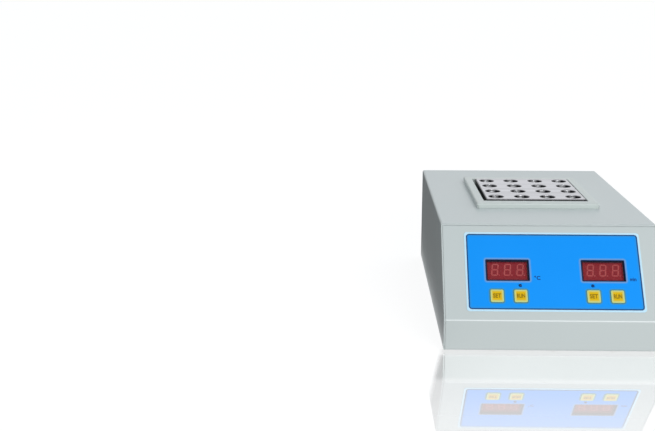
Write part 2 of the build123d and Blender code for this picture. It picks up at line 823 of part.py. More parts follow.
key_face = -(overlay_sheet + key_proud)
key_flange_depth = sheet + key_back_gap
key_flange_size = key_size + 2 * (key_gap + key_flange_lap)
tact_face = display_board_depth - tact_height
for number, place in enumerate(key_places, start=1):
    with BuildPart() as key:
        with BuildSketch(slope_at(key_face)):
            with Locations(place):
                RectangleRounded(key_size, key_size, key_radius)
        extrude(amount=-(key_flange_depth - key_face))
        fillet(key.faces().sort_by(Axis((0, 0, 0), slope_plane.z_dir))[-1].edges(), radius=key_round)
        with BuildSketch(slope_at(key_flange_depth)):
            with Locations(place):
                RectangleRounded(key_flange_size, key_flange_size, key_radius)
        extrude(amount=-key_flange)
        with BuildSketch(slope_at(key_flange_depth + key_flange)):
            with Locations(place):
                Circle(key_stem_d / 2)
        extrude(amount=-(tact_face + stem_entry - key_flange_depth - key_flange))
    finish(key.part, f"key_{number}")

with BuildPart() as key_switches:
    with BuildSketch(slope_at(tact_face)):
        with Locations(*key_places):
            Rectangle(tact_size, tact_size)
    extrude(amount=-tact_height)
    with BuildSketch(slope_at(tact_face)):
        with Locations(*key_places):
            Circle(tact_bore / 2)
    extrude(amount=-(stem_entry + key_travel + tact_play), mode=Mode.SUBTRACT)
finish(key_switches.part, "key_switches")

for side, place in zip(("left", "right"), lamp_places):
    with BuildPart() as lamp:
        with BuildSketch(slope_at(-overlay_sheet - lamp_proud)):
            with Locations(place):
                Circle(lamp_d / 2)
        extrude(amount=-(lamp_body + overlay_sheet + lamp_proud))
        fillet(lamp.faces().sort_by(Axis((0, 0, 0), slope_plane.z_dir))[-1].edges(), radius=lamp_round)
        with BuildSketch(slope_at(lamp_body)):
            with Locations(place):
                Circle(lamp_spacer_d / 2)
        extrude(amount=-(display_board_depth - lamp_body))
    finish(lamp.part, f"indicator_lamp_{side}")

with BuildPart() as display_board:
    with BuildSketch(slope_at(display_board_depth)):
        with Locations((overlay_x, -display_board_down)):
            Rectangle(display_board_width, display_board_height)
        with Locations(*display_stud_places):
            Circle((screw_d + screw_clearance) / 2, mode=Mode.SUBTRACT)
    extrude(amount=-board_thick)
finish(display_board.part, "display_board")

with BuildPart() as display_spacers:
    with BuildSketch(slope_at(sheet)):
        with Locations(*display_stud_places):
            Circle(stud_spacer_d / 2)
            Circle((screw_d + thread_gap) / 2, mode=Mode.SUBTRACT)
    extrude(amount=-(display_board_depth - sheet))
finish(display_spacers.part, "display_spacers")

# ---------------------------------------------------------------- control board
with BuildPart() as control_board:
    with BuildSketch(level(control_bottom)):
        with Locations((0, control_middle)):
            RectangleRounded(control_width, control_depth, board_radius)
        with Locations(*standoff_places):
            Circle((screw_d + screw_clearance) / 2, mode=Mode.SUBTRACT)
    extrude(amount=board_thick)
finish(control_board.part, "control_board")

with BuildPart() as board_standoffs:
    with BuildSketch(level(floor_top)):
        with Locations(*standoff_places):
            RegularPolygon(standoff_width / 2, 6, major_radius=False)
            Circle((screw_d + thread_gap) / 2, mode=Mode.SUBTRACT)
    extrude(amount=control_rise)
finish(board_standoffs.part, "board_standoffs")

with BuildPart() as relay:
    with BuildSketch(level(control_top)):
        with Locations(on_board(relay_share)):
            Rectangle(relay_size[0], relay_size[1])
    extrude(amount=relay_size[2])
    fillet(relay.edges().filter_by(Axis.Z), radius=relay_radius)
    chamfer(relay.faces().sort_by(Axis.Z)[-1].edges(), length=relay_chamfer)
finish(relay.part, "relay")

terminal_length = terminal_spacing * terminal_count
terminal_face = control_middle + control_depth / 2 - terminal_inset
with BuildPart() as terminal_block:
    with BuildSketch(Plane.YZ.offset(-terminal_length / 2)):
        with Locations((terminal_face, control_top)):
            Polygon(
                (-terminal_depth, 0),
                (0, 0),
                (0, terminal_shoulder),
                (-terminal_slope, terminal_height),
                (-terminal_depth, terminal_height),
                align=None,
            )
    extrude(amount=terminal_length)
    with BuildSketch(level(control_top + terminal_height)):
        with Locations((0, terminal_face - (terminal_slope + terminal_depth) / 2)):
            with GridLocations(terminal_spacing, 1, terminal_count, 1):
                Circle(terminal_screw_d / 2)
    extrude(amount=-terminal_screw_depth, mode=Mode.SUBTRACT)
    with BuildSketch(Plane.XZ.offset(-terminal_face)):
        with Locations((0, control_top + terminal_mouth_rise)):
            with GridLocations(terminal_spacing, 1, terminal_count, 1):
                Rectangle(terminal_mouth_width, terminal_mouth_height)
    extrude(amount=terminal_mouth_depth, mode=Mode.SUBTRACT)
finish(terminal_block.part, "terminal_block")

capacitor_x, capacitor_y = on_board(capacitor_share)
capacitor_places = [(capacitor_x, capacitor_y), (capacitor_x + capacitor_spacing, capacitor_y)]
with BuildPart() as capacitors:
    with BuildSketch(level(control_top)):
        with Locations(*capacitor_places):
            Circle(capacitor_d / 2)
    extrude(amount=capacitor_height)
    fillet(capacitors.faces().filter_by(Axis.Z).group_by(Axis.Z)[-1].edges(), radius=capacitor_round)
finish(capacitors.part, "capacitors")

sink_place = on_board(sink_share)
fin_spacing = (sink_width - fin_thick) / (fin_count - 1)
with BuildPart() as heat_sink:
    with BuildSketch(level(control_top)):
        with Locations(sink_place):
            with Locations((0, (sink_depth - sink_back) / 2)):
                Rectangle(sink_width, sink_back)
            with Locations((0, -sink_back / 2)):
                with GridLocations(fin_spacing, 1, fin_count, 1):
                    Rectangle(fin_thick, sink_depth - sink_back)
    extrude(amount=sink_height)
finish(heat_sink.part, "heat_sink")

triac_y = sink_place[1] + sink_depth / 2 + triac_size[1] / 2
with BuildPart() as triac:
    with BuildSketch(level(control_top + triac_rise)):
        with Locations((sink_place[0], triac_y)):
            Rectangle(triac_size[0], triac_size[1])
    extrude(amount=triac_size[2])
    with BuildSketch(level(control_top)):
        with Locations((sink_place[0], triac_y)):
            with GridLocations(pin_spacing, 1, 3, 1):
                Rectangle(pin_width, pin_thick)
    extrude(amount=triac_rise)
finish(triac.part, "triac")

processor_place = on_board(processor_share)
with BuildPart() as processor:
    with BuildSketch(level(control_top)):
        with Locations(processor_place):
            Rectangle(processor_size[0], processor_size[1])
    extrude(amount=processor_size[2])
    chamfer(processor.faces().sort_by(Axis.Z)[-1].edges(), length=processor_chamfer)
    with BuildSketch(level(control_top + processor_size[2])):
        with Locations((processor_place[0] - processor_size[0] / 2, processor_place[1])):
            Circle(processor_notch)
    extrude(amount=-processor_notch_depth, mode=Mode.SUBTRACT)
finish(processor.part, "processor")

with BuildPart() as buzzer:
    with BuildSketch(level(control_top)):
        with Locations(on_board(buzzer_share)):
            Circle(buzzer_d / 2)
    extrude(amount=buzzer_height)
    with BuildSketch(level(control_top + buzzer_height)):
        with Locations(on_board(buzzer_share)):
            Circle(buzzer_port / 2)
    extrude(amount=-buzzer_height / 2, mode=Mode.SUBTRACT)
finish(buzzer.part, "buzzer")

# ---------------------------------------------------------------- transformer
window_spacing = (core_width - 2 * core_yoke + core_leg) / 2
with BuildPart() as transformer_core:
    with BuildSketch(Plane.XZ.offset(-transformer_middle)):
        with Locations((transformer_x, floor_top + foot_plate_thick + core_height / 2)):
            Rectangle(core_width, core_height)
            with GridLocations(window_spacing, 1, 2, 1):
                Rectangle(window_spacing - core_leg, core_height - 2 * core_yoke, mode=Mode.SUBTRACT)
    extrude(amount=core_stack / 2, both=True)
    with BuildSketch(level(floor_top)):
        with Locations((transformer_x, transformer_middle)):
            RectangleRounded(foot_plate_width, core_stack, foot_plate_radius)
        with Locations(*transformer_screw_places):
            Circle((screw_d + screw_clearance) / 2, mode=Mode.SUBTRACT)
    extrude(amount=foot_plate_thick)
finish(transformer_core.part, "transformer_core")

with BuildPart() as transformer_coil:
    with BuildSketch(level(floor_top + foot_plate_thick + core_yoke + coil_gap)):
        with Locations((transformer_x, transformer_middle)):
            RectangleRounded(core_width - 2 * core_yoke - 2 * coil_gap, coil_depth, coil_radius)
            Rectangle(core_leg + 2 * coil_gap, core_stack + 2 * coil_gap, mode=Mode.SUBTRACT)
    extrude(amount=core_height - 2 * core_yoke - 2 * coil_gap)
finish(transformer_coil.part, "transformer_coil")

# ---------------------------------------------------------------- mains inlet and fuse
socket_z = inlet_z + socket_up
drawer_z = inlet_z - drawer_down
with BuildPart() as inlet_body:
    with BuildSketch(rear_plane(inlet_x, inlet_z)):
        RectangleRounded(inlet_flange_width, inlet_flange_height, inlet_flange_radius)
    extrude(amount=inlet_flange)
    chamfer(inlet_body.faces().sort_by(Axis.Y)[-1].edges(), length=inlet_flange_chamfer)
    with BuildSketch(rear_plane(inlet_x, inlet_z)):
        Rectangle(inlet_body_width, inlet_body_height)
    extrude(amount=-inlet_body_depth)
    with BuildSketch(rear_plane(inlet_x, socket_z, inlet_flange)) as socket_mouth:
        Rectangle(socket_width, socket_height)
        chamfer(socket_mouth.vertices().group_by(Axis.Y)[-1], length=socket_chamfer)
    extrude(amount=-socket_depth, mode=Mode.SUBTRACT)
    with BuildSketch(rear_plane(inlet_x, drawer_z, inlet_flange)):
        Rectangle(drawer_width + 2 * drawer_gap, drawer_height + 2 * drawer_gap)
    extrude(amount=-(drawer_length + drawer_gap), mode=Mode.SUBTRACT)
    with BuildSketch(rear_plane(inlet_x, inlet_z, inlet_flange)):
        with GridLocations(inlet_screw_spacing, 1, 2, 1):
            Circle((screw_d + screw_clearance) / 2)
    extrude(amount=-inlet_flange, mode=Mode.SUBTRACT)
    with BuildSketch(rear_plane(inlet_x, socket_z, inlet_flange - socket_depth)):
        with GridLocations(2 * blade_spacing, 1, 2, 1):
            with Locations((0, -blade_offset)):
                Rectangle(blade_thick, blade_width)
        with Locations((0, blade_offset)):
            Rectangle(blade_thick, blade_width)
    extrude(amount=-inlet_body_depth, mode=Mode.SUBTRACT)
finish(inlet_body.part, "inlet_body")

with BuildPart() as inlet_blades:
    with BuildSketch(rear_plane(inlet_x, socket_z, inlet_flange - blade_inset)):
        with GridLocations(2 * blade_spacing, 1, 2, 1):
            with Locations((0, -blade_offset)):
                Rectangle(blade_thick, blade_width)
        with Locations((0, blade_offset)):
            Rectangle(blade_thick, blade_width)
    extrude(amount=-(inlet_flange - blade_inset + inlet_body_depth + blade_tab))
    chamfer(inlet_blades.faces().filter_by(Axis.Y).group_by(Axis.Y)[-1].edges(), length=blade_chamfer)
finish(inlet_blades.part, "inlet_blades")

trough_z = drawer_z + drawer_height / 2 - fuse_d / 2 - fuse_drop
fuse_out = inlet_flange - drawer_wall - fuse_play
with BuildPart() as fuse_drawer:
    with BuildSketch(rear_plane(inlet_x, drawer_z, inlet_flange)):
        Rectangle(drawer_width, drawer_height)
    extrude(amount=-drawer_length)
    with BuildSketch(rear_plane(inlet_x, drawer_z, inlet_flange)):
        with Locations((0, drawer_height / 2 - drawer_lip)):
            Rectangle(drawer_lip_width, 2 * drawer_lip)
    extrude(amount=drawer_lip)
    # trough for the fuse, open at the top
    with BuildSketch(rear_plane(inlet_x, drawer_z, inlet_flange - drawer_wall)):
        with Locations((0, trough_z - drawer_z)):
            Circle(fuse_d / 2 + drawer_gap)
            with Locations((0, drawer_height / 2)):
                Rectangle(fuse_d + 2 * drawer_gap, drawer_height)
    extrude(amount=-(fuse_length + 2 * fuse_play), mode=Mode.SUBTRACT)
finish(fuse_drawer.part, "fuse_drawer")

with BuildPart() as fuse:
    with BuildSketch(rear_plane(inlet_x, trough_z, fuse_out)):
        Circle(fuse_d / 2)
    extrude(amount=-fuse_cap)
    with BuildSketch(rear_plane(inlet_x, trough_z, fuse_out - fuse_cap)):
        Circle(fuse_tube_d / 2)
    extrude(amount=-(fuse_length - 2 * fuse_cap))
    with BuildSketch(rear_plane(inlet_x, trough_z, fuse_out - fuse_length + fuse_cap)):
        Circle(fuse_d / 2)
    extrude(amount=-fuse_cap)
finish(fuse.part, "fuse")

# ---------------------------------------------------------------- power switch
pivot_out = switch_bezel - rocker_sink
with BuildPart() as switch_housing:
    with BuildSketch(rear_plane(switch_x, inlet_z)):
        RectangleRounded(switch_bezel_width, switch_bezel_height, switch_bezel_radius)
    extrude(amount=switch_bezel)
    chamfer(switch_housing.faces().sort_by(Axis.Y)[-1].edges(), length=switch_bezel_chamfer)
    with BuildSketch(rear_plane(switch_x, inlet_z)):
        Rectangle(switch_body_width, switch_body_height)
    extrude(amount=-switch_body_depth)
    with BuildSketch(rear_plane(switch_x, inlet_z, switch_bezel)):
        Rectangle(rocker_width + 2 * rocker_gap, 2 * (rocker_reach + rocker_gap))
    extrude(amount=-rocker_pit, mode=Mode.SUBTRACT)
    with BuildSketch(Plane.YZ.offset(switch_x)):
        with Locations((rear_face + pivot_out, inlet_z)):
            Circle(rocker_pin_d / 2 + pin_gap)
    extrude(amount=rocker_width / 2 + rocker_pin + rocker_gap, both=True, mode=Mode.SUBTRACT)
finish(switch_housing.part, "switch_housing")

rocker_lean = radians(rocker_swing)
rocker_plane = Plane(
    origin=(switch_x, rear_face + pivot_out, inlet_z),
    x_dir=(0, sin(rocker_lean), cos(rocker_lean)),
    z_dir=(-1, 0, 0),
)
rocker_tip = rocker_valley + rocker_reach * sin(rocker_lean)
rocker_edge = sqrt(rocker_reach**2 - rocker_tip**2)
rocker_foot_drop = sqrt(rocker_reach**2 - rocker_foot**2)
with BuildPart() as switch_rocker:
    with BuildSketch(rocker_plane):
        with BuildLine():
            Polyline((rocker_edge, rocker_tip), (0, rocker_valley), (-rocker_edge, rocker_tip))
            ThreePointArc((-rocker_edge, rocker_tip), (-rocker_reach, 0), (-rocker_foot, -rocker_foot_drop))
            Line((-rocker_foot, -rocker_foot_drop), (rocker_foot, -rocker_foot_drop))
            ThreePointArc((rocker_foot, -rocker_foot_drop), (rocker_reach, 0), (rocker_edge, rocker_tip))
        make_face()
    extrude(amount=rocker_width / 2, both=True)
    with BuildSketch(rocker_plane):
        Circle(rocker_pin_d / 2)
    extrude(amount=rocker_width / 2 + rocker_pin, both=True)
finish(switch_rocker.part, "switch_rocker")

with BuildPart() as switch_terminals:
    with BuildSketch(rear_plane(switch_x, inlet_z, -switch_body_depth)):
        with GridLocations(1, switch_tab_spacing, 1, 3):
            Rectangle(switch_tab_width, tab_thick)
    extrude(amount=-blade_tab)
finish(switch_terminals.part, "switch_terminals")

# ---------------------------------------------------------------- feet
for name, place in zip(("front_left", "front_right", "rear_left", "rear_right"), foot_places):
    with BuildPart() as foot:
        with BuildSketch(level(0)):
            with Locations(place):
                Circle(foot_d / 2)
        extrude(amount=under_tray)
        chamfer(foot.faces().sort_by(Axis.Z)[0].edges(), length=foot_chamfer)
        with BuildSketch(level(0)):
            with Locations(place):
                Circle(foot_recess_d / 2)
        extrude(amount=foot_recess, mode=Mode.SUBTRACT)
        with BuildSketch(level(0)):
            with Locations(place):
                Circle((screw_d + thread_gap) / 2)
        extrude(amount=under_tray, mode=Mode.SUBTRACT)
    finish(foot.part, f"foot_{name}")


# ---------------------------------------------------------------- ribbon cable
def slope_point(up, depth):
    """Where a point of the slope lies in the YZ plane: up from its middle, and behind its face."""
    point = slope_plane.from_local_coords((0, up, -depth))
    return (point.Y, point.Z)


ribbon_depth = display_board_back + header_size[2]
ribbon_start = slope_point(-ribbon_down, ribbon_depth)
ribbon_turn_z = control_top + header_size[2] + ribbon_drop
ribbon_run = (ribbon_start[1] - ribbon_turn_z) / slope_plane.z_dir.Z
ribbon_turn = slope_point(-ribbon_down, ribbon_depth + ribbon_run)
with BuildPart() as ribbon_headers:
    with BuildSketch(slope_at(display_board_back)):
        with Locations((ribbon_x, -ribbon_down)):
            Rectangle(header_size[0], header_size[1])
    extrude(amount=-header_size[2])
    with BuildSketch(level(control_top)):
        with Locations((ribbon_x, ribbon_turn[0])):
            Rectangle(header_size[0], header_size[1])
    extrude(amount=header_size[2])
finish(ribbon_headers.part, "ribbon_headers")

with BuildPart() as ribbon_cable:
    with BuildSketch(Plane.YZ.offset(ribbon_x)):
        with BuildLine():
            FilletPolyline(
                ribbon_start, ribbon_turn, (ribbon_turn[0], control_top + header_size[2]), radius=ribbon_bend
            )
            offset(amount=ribbon_thick, side=Side.LEFT)
        make_face()
    extrude(amount=ribbon_width / 2, both=True)
finish(ribbon_cable.part, "ribbon_cable")


# ---------------------------------------------------------------- screws and nuts
def pan_screw(length):
    """A small pan-head screw: the head's underside is at z = 0 and the shank points up."""
    with BuildPart() as screw:
        with BuildSketch(Plane.XY):
            Circle(screw_head_d / 2)
        extrude(amount=-screw_head_h)
        chamfer(screw.faces().sort_by(Axis.Z)[0].edges(), length=screw_head_chamfer)
        with BuildSketch(Plane.XY):
            Circle(screw_d / 2)
        extrude(amount=length)
    return screw.part


def hex_nut():
    """A nut that bears on z = 0."""
    with BuildPart() as nut:
        with BuildSketch(Plane.XY):
            RegularPolygon(nut_width / 2, 6, major_radius=False)
            Circle((screw_d + thread_gap) / 2, mode=Mode.SUBTRACT)
        extrude(amount=nut_height)
    return nut.part


def facing(x, y, z, direction):
    """A plane for a fastener that points this way."""
    return Plane(origin=(x, y, z), x_dir=(1, 0, 0), z_dir=direction)


inward = -slope_plane.z_dir
up = (0, 0, 1)
down = (0, 0, -1)
forward = (0, -1, 0)
screw = pan_screw(screw_length)
inlet_screw = pan_screw(inlet_screw_length)
cutout_screw = pan_screw(cutout_screw_depth)
nut = hex_nut()
inlet_screw_places = [(inlet_x + side * inlet_screw_spacing / 2, inlet_z) for side in (-1, 1)]

with BuildPart() as case_screws:
    with Locations(*[facing(x, y, floor_gap, up) for x, y in cover_screw_places + panel_screw_places]):
        add(screw)
finish(case_screws.part, "case_screws")

with BuildPart() as foot_screws:
    with Locations(*[facing(x, y, foot_recess, up) for x, y in foot_places]):
        add(screw)
finish(foot_screws.part, "foot_screws")

with BuildPart() as chassis_screws:
    with Locations(*[facing(x, y, under_tray, up) for x, y in standoff_places + transformer_screw_places]):
        add(screw)
    with Locations(*[facing(x, y, control_top, down) for x, y in standoff_places]):
        add(screw)
finish(chassis_screws.part, "chassis_screws")

with BuildPart() as inlet_screws:
    with Locations(*[facing(x, rear_face + inlet_flange, z, forward) for x, z in inlet_screw_places]):
        add(inlet_screw)
finish(inlet_screws.part, "inlet_screws")

with BuildPart() as cutout_screws:
    with Locations(
        *[
            facing(x, block_rear + cutout_plate, block_bottom + cutout_height, forward)
            for x in (block_x - cutout_screw_spacing / 2, block_x + cutout_screw_spacing / 2)
        ]
    ):
        add(cutout_screw)
finish(cutout_screws.part, "cutout_screws")

with BuildPart() as nuts:
    with Locations(*[facing(x, y, floor_top, up) for x, y in foot_places]):
        add(nut)
    with Locations(*[facing(x, y, floor_top + foot_plate_thick, up) for x, y in transformer_screw_places]):
        add(nut)
    with Locations(*[facing(x, y, top_inside, down) for x, y in collar_stud_places]):
        add(nut)
    with Locations(*[facing(x, rear_inside, z, forward) for x, z in inlet_screw_places]):
        add(nut)
    with Locations(*[facing(x, *slope_point(y, display_board_back), inward) for x, y in display_stud_places]):
        add(nut)
finish(nuts.part, "nuts")
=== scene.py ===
"""Looks of the digestion reactor: finishes, printed marks, display digits, screw heads, light and camera."""

import json
from math import atan2, cos, pi, radians, sin

import bpy
from mathutils import Matrix, Vector


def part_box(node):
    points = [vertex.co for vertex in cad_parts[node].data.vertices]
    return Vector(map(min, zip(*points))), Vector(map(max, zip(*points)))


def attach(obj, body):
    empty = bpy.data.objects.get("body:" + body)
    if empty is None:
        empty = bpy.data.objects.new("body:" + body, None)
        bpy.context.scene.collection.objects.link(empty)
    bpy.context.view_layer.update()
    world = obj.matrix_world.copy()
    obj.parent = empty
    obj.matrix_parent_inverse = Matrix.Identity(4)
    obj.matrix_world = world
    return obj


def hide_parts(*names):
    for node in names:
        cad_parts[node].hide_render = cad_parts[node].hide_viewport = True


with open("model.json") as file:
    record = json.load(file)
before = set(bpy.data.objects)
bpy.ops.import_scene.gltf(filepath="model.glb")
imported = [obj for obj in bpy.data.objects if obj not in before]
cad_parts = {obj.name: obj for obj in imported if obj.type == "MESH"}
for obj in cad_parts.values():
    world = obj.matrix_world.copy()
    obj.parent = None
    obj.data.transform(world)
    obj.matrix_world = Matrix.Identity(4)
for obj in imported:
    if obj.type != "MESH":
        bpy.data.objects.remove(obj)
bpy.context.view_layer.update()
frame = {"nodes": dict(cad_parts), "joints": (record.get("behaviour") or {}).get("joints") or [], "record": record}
NODES = frame["nodes"]
MM = 0.001

# ---------------------------------------- places on the case
CASE_LOW, CASE_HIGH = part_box("cover")
BAND_HEIGHT = 32.8 * MM  # from the table to the front panel's crease
SLOPE_RUN = 63.8 * MM  # of the sloping face, from front to back
SLOPE_RISE = CASE_HIGH.z - BAND_HEIGHT
SLOPE_TURN = atan2(SLOPE_RISE, SLOPE_RUN)
SLOPE_MIDDLE = Vector((0, CASE_LOW.y + SLOPE_RUN / 2, BAND_HEIGHT + SLOPE_RISE / 2))
SLOPE = Matrix.Translation(SLOPE_MIDDLE) @ Matrix.Rotation(SLOPE_TURN, 4, "X")

REAR_TURN = Matrix.Rotation(pi, 4, "Z") @ Matrix.Rotation(radians(90), 4, "X")

POINT_DECIMALS = 6  # that tell two vertices apart
ORDER_DECIMALS = 5  # that put two boxes in order


def corners_of(points):
    """Lowest and highest corner of the box around some points."""
    low = Vector(min(point[i] for point in points) for i in range(3))
    high = Vector(max(point[i] for point in points) for i in range(3))
    return low, high


def box_in(node, place):
    """Lowest and highest corner of a CAD node in the axes of a placement matrix."""
    inverse = place.inverted()
    return corners_of([inverse @ vertex.co for vertex in NODES[node].data.vertices])


def separate_boxes(node, place):
    """The box of each separate solid in a CAD node, in the axes of a placement matrix."""
    inverse = place.inverted()
    mesh = NODES[node].data
    keys = [tuple(round(c, POINT_DECIMALS) for c in vertex.co) for vertex in mesh.vertices]
    linked = {key: key for key in keys}

    def root(key):
        while linked[key] != key:
            linked[key] = linked[linked[key]]
            key = linked[key]
        return key

    for polygon in mesh.polygons:
        corners = [keys[i] for i in polygon.vertices]
        for other in corners[1:]:
            linked[root(other)] = root(corners[0])
    islands = {}
    for key in linked:
        islands.setdefault(root(key), []).append(inverse @ Vector(key))
    boxes = [corners_of(points) for points in islands.values()]
    return sorted(boxes, key=lambda box: tuple(round(c, ORDER_DECIMALS) for c in box[0]))


# ---------------------------------------- shader helpers
def srgb(red, green, blue):
    """A screen colour from 0 to 255 as the linear colour that a shader takes."""
    def linear(value):
        value /= 255
        return value / 12.92 if value <= 0.04045 else ((value + 0.055) / 1.055) ** 2.4
    return (linear(red), linear(green), linear(blue), 1.0)


def fill(tree, made, inputs):
    """Link or set inputs of a node: a socket is linked, any other value is set."""
    for socket, value in inputs.items():
        if isinstance(value, bpy.types.NodeSocket):
            tree.links.new(value, made.inputs[socket])
        else:
            made.inputs[socket].default_value = value


def add_node(tree, kind, inputs=None, **settings):
    """Add a node, set its settings, and link or set the inputs that are given."""
    made = tree.nodes.new(kind)
    for name, value in settings.items():
        setattr(made, name, value)
    fill(tree, made, inputs or {})
    return made


def math_node(tree, operation, first, second=0.0, third=0.0, clamp=False):
    """A Math node; returns its output."""
    inputs = {0: first, 1: second, 2: third}
    return add_node(tree, "ShaderNodeMath", inputs, operation=operation, use_clamp=clamp).outputs[0]


def vector_node(tree, operation, first, second=(0, 0, 0)):
    """A Vector Math node; returns its output, a value for a length or a dot product and else a vector."""
    made = add_node(tree, "ShaderNodeVectorMath", {0: first, 1: second}, operation=operation)
    return made.outputs["Value" if operation in ("LENGTH", "DOT_PRODUCT") else "Vector"]


def split(tree, vector):
    """The X, Y and Z values of a vector."""
    return add_node(tree, "ShaderNodeSeparateXYZ", {0: vector}).outputs


def combine(tree, **values):
    """A vector of X, Y and Z values, 0 where none is given."""
    return add_node(tree, "ShaderNodeCombineXYZ", values).outputs[0]


def mix_colours(tree, factor, first, second):
    """A colour Mix node; returns its output. Its colour sockets are inputs 6 and 7 and output 2."""
    return add_node(tree, "ShaderNodeMix", {0: factor, 6: first, 7: second}, data_type="RGBA").outputs[2]


def ramp(tree, value, low, high, from_value=0.0, to_value=1.0):
    """Map a value from one range to another, clamped and smoothed."""
    inputs = {"Value": value, "From Min": low, "From Max": high, "To Min": from_value, "To Max": to_value}
    made = add_node(tree, "ShaderNodeMapRange", inputs, interpolation_type="SMOOTHSTEP", clamp=True)
    return made.outputs["Result"]


def new_group(name, inputs, outputs):
    """A shader node group with named sockets; returns the group, its input node and its output node."""
    group = bpy.data.node_groups.new(name, "ShaderNodeTree")
    for label, kind, value in inputs:
        socket = group.interface.new_socket(label, in_out="INPUT", socket_type=kind)
        if value is not None:
            socket.default_value = value
    for label, kind in outputs:
        group.interface.new_socket(label, in_out="OUTPUT", socket_type=kind)
    return group, group.nodes.new("NodeGroupInput"), group.nodes.new("NodeGroupOutput")


def use_group(tree, group, inputs):
    """Place a node group with its inputs; returns its outputs."""
    made = tree.nodes.new("ShaderNodeGroup")
    made.node_tree = group
    fill(tree, made, inputs)
    return made.outputs


# ---------------------------------------- shared effects
ROUGHNESS_SWING = 0.25  # change of roughness over the whole drift
EDGE_BREAKUP = 4.0  # strength of the noise that breaks an edge up
EDGE_TURN = (0.03, 0.35)  # turn of the normal where an edge begins to show and shows in full
BROAD_SCALE = 0.08  # of the broad bands, as a share of the fine lines' scale
BROAD_CONTRAST = 0.5


def make_grain_group():
    """Fine surface grain with a slow drift of tone: the skin of paint and of moulded plastic."""
    group, source, sink = new_group(
        "surface_grain",
        [
            ("Vector", "NodeSocketVector", None),
            ("Grain Size", "NodeSocketFloat", 0.6 * MM),
            ("Drift Size", "NodeSocketFloat", 90 * MM),
            ("Drift", "NodeSocketFloat", 0.04),
        ],
        [("Height", "NodeSocketFloat"), ("Tone", "NodeSocketFloat"), ("Roughness Shift", "NodeSocketFloat")],
    )
    vector = source.outputs["Vector"]
    grain_scale = math_node(group, "DIVIDE", 1.0, source.outputs["Grain Size"])
    drift_scale = math_node(group, "DIVIDE", 1.0, source.outputs["Drift Size"])
    grain = add_node(group, "ShaderNodeTexNoise", {"Vector": vector, "Scale": grain_scale, "Detail": 2.0})
    drift = add_node(group, "ShaderNodeTexNoise", {"Vector": vector, "Scale": drift_scale, "Detail": 3.0})
    centred = math_node(group, "SUBTRACT", drift.outputs["Fac"], 0.5)
    tone = math_node(group, "MULTIPLY_ADD", centred, source.outputs["Drift"], 1.0)
    shift = math_node(group, "MULTIPLY", centred, ROUGHNESS_SWING)
    group.links.new(grain.outputs["Fac"], sink.inputs["Height"])
    group.links.new(tone, sink.inputs["Tone"])
    group.links.new(shift, sink.inputs["Roughness Shift"])
    return group


def make_edge_group():
    """A mask that is 1 along sharp outer and inner edges and 0 on flats."""
    group, source, sink = new_group(
        "edge_mask",
        [
            ("Width", "NodeSocketFloat", 0.8 * MM),
            ("Vector", "NodeSocketVector", None),
            ("Breakup Size", "NodeSocketFloat", 4 * MM),
        ],
        [("Edge", "NodeSocketFloat"), ("Soft Normal", "NodeSocketVector")],
    )
    rounded = add_node(group, "ShaderNodeBevel", {"Radius": source.outputs["Width"]}, samples=4)
    geometry = group.nodes.new("ShaderNodeNewGeometry")
    dot = vector_node(group, "DOT_PRODUCT", rounded.outputs["Normal"], geometry.outputs["Normal"])
    turned = math_node(group, "SUBTRACT", 1.0, dot)
    scale = math_node(group, "DIVIDE", 1.0, source.outputs["Breakup Size"])
    inputs = {"Vector": source.outputs["Vector"], "Scale": scale, "Detail": 4.0}
    noise = add_node(group, "ShaderNodeTexNoise", inputs).outputs["Fac"]
    broken = math_node(group, "MULTIPLY", turned, math_node(group, "MULTIPLY", noise, EDGE_BREAKUP))
    edge = ramp(group, broken, *EDGE_TURN)
    group.links.new(edge, sink.inputs["Edge"])
    group.links.new(rounded.outputs["Normal"], sink.inputs["Soft Normal"])
    return group


def make_outline_group():
    """Signed distance to a rounded rectangle in the XY plane of a vector: below 0 inside."""
    group, source, sink = new_group(
        "rounded_outline",
        [
            ("Vector", "NodeSocketVector", None),
            ("Centre", "NodeSocketVector", (0, 0, 0)),
            ("Half Size", "NodeSocketVector", (10 * MM, 10 * MM, 0)),
            ("Radius", "NodeSocketFloat", 2 * MM),
        ],
        [("Distance", "NodeSocketFloat")],
    )
    radius = source.outputs["Radius"]
    size = split(group, source.outputs["Half Size"])
    place = split(group, vector_node(group, "SUBTRACT", source.outputs["Vector"], source.outputs["Centre"]))
    past = []
    for axis in ("X", "Y"):
        out = math_node(group, "ABSOLUTE", place[axis])
        inner = math_node(group, "SUBTRACT", size[axis], radius)
        past.append(math_node(group, "SUBTRACT", out, inner))
    outside = [math_node(group, "MAXIMUM", value, 0.0) for value in past]
    length = vector_node(group, "LENGTH", combine(group, X=outside[0], Y=outside[1]))
    within = math_node(group, "MINIMUM", math_node(group, "MAXIMUM", past[0], past[1]), 0.0)
    total = math_node(group, "ADD", length, within)
    group.links.new(math_node(group, "SUBTRACT", total, radius), sink.inputs["Distance"])
    return group


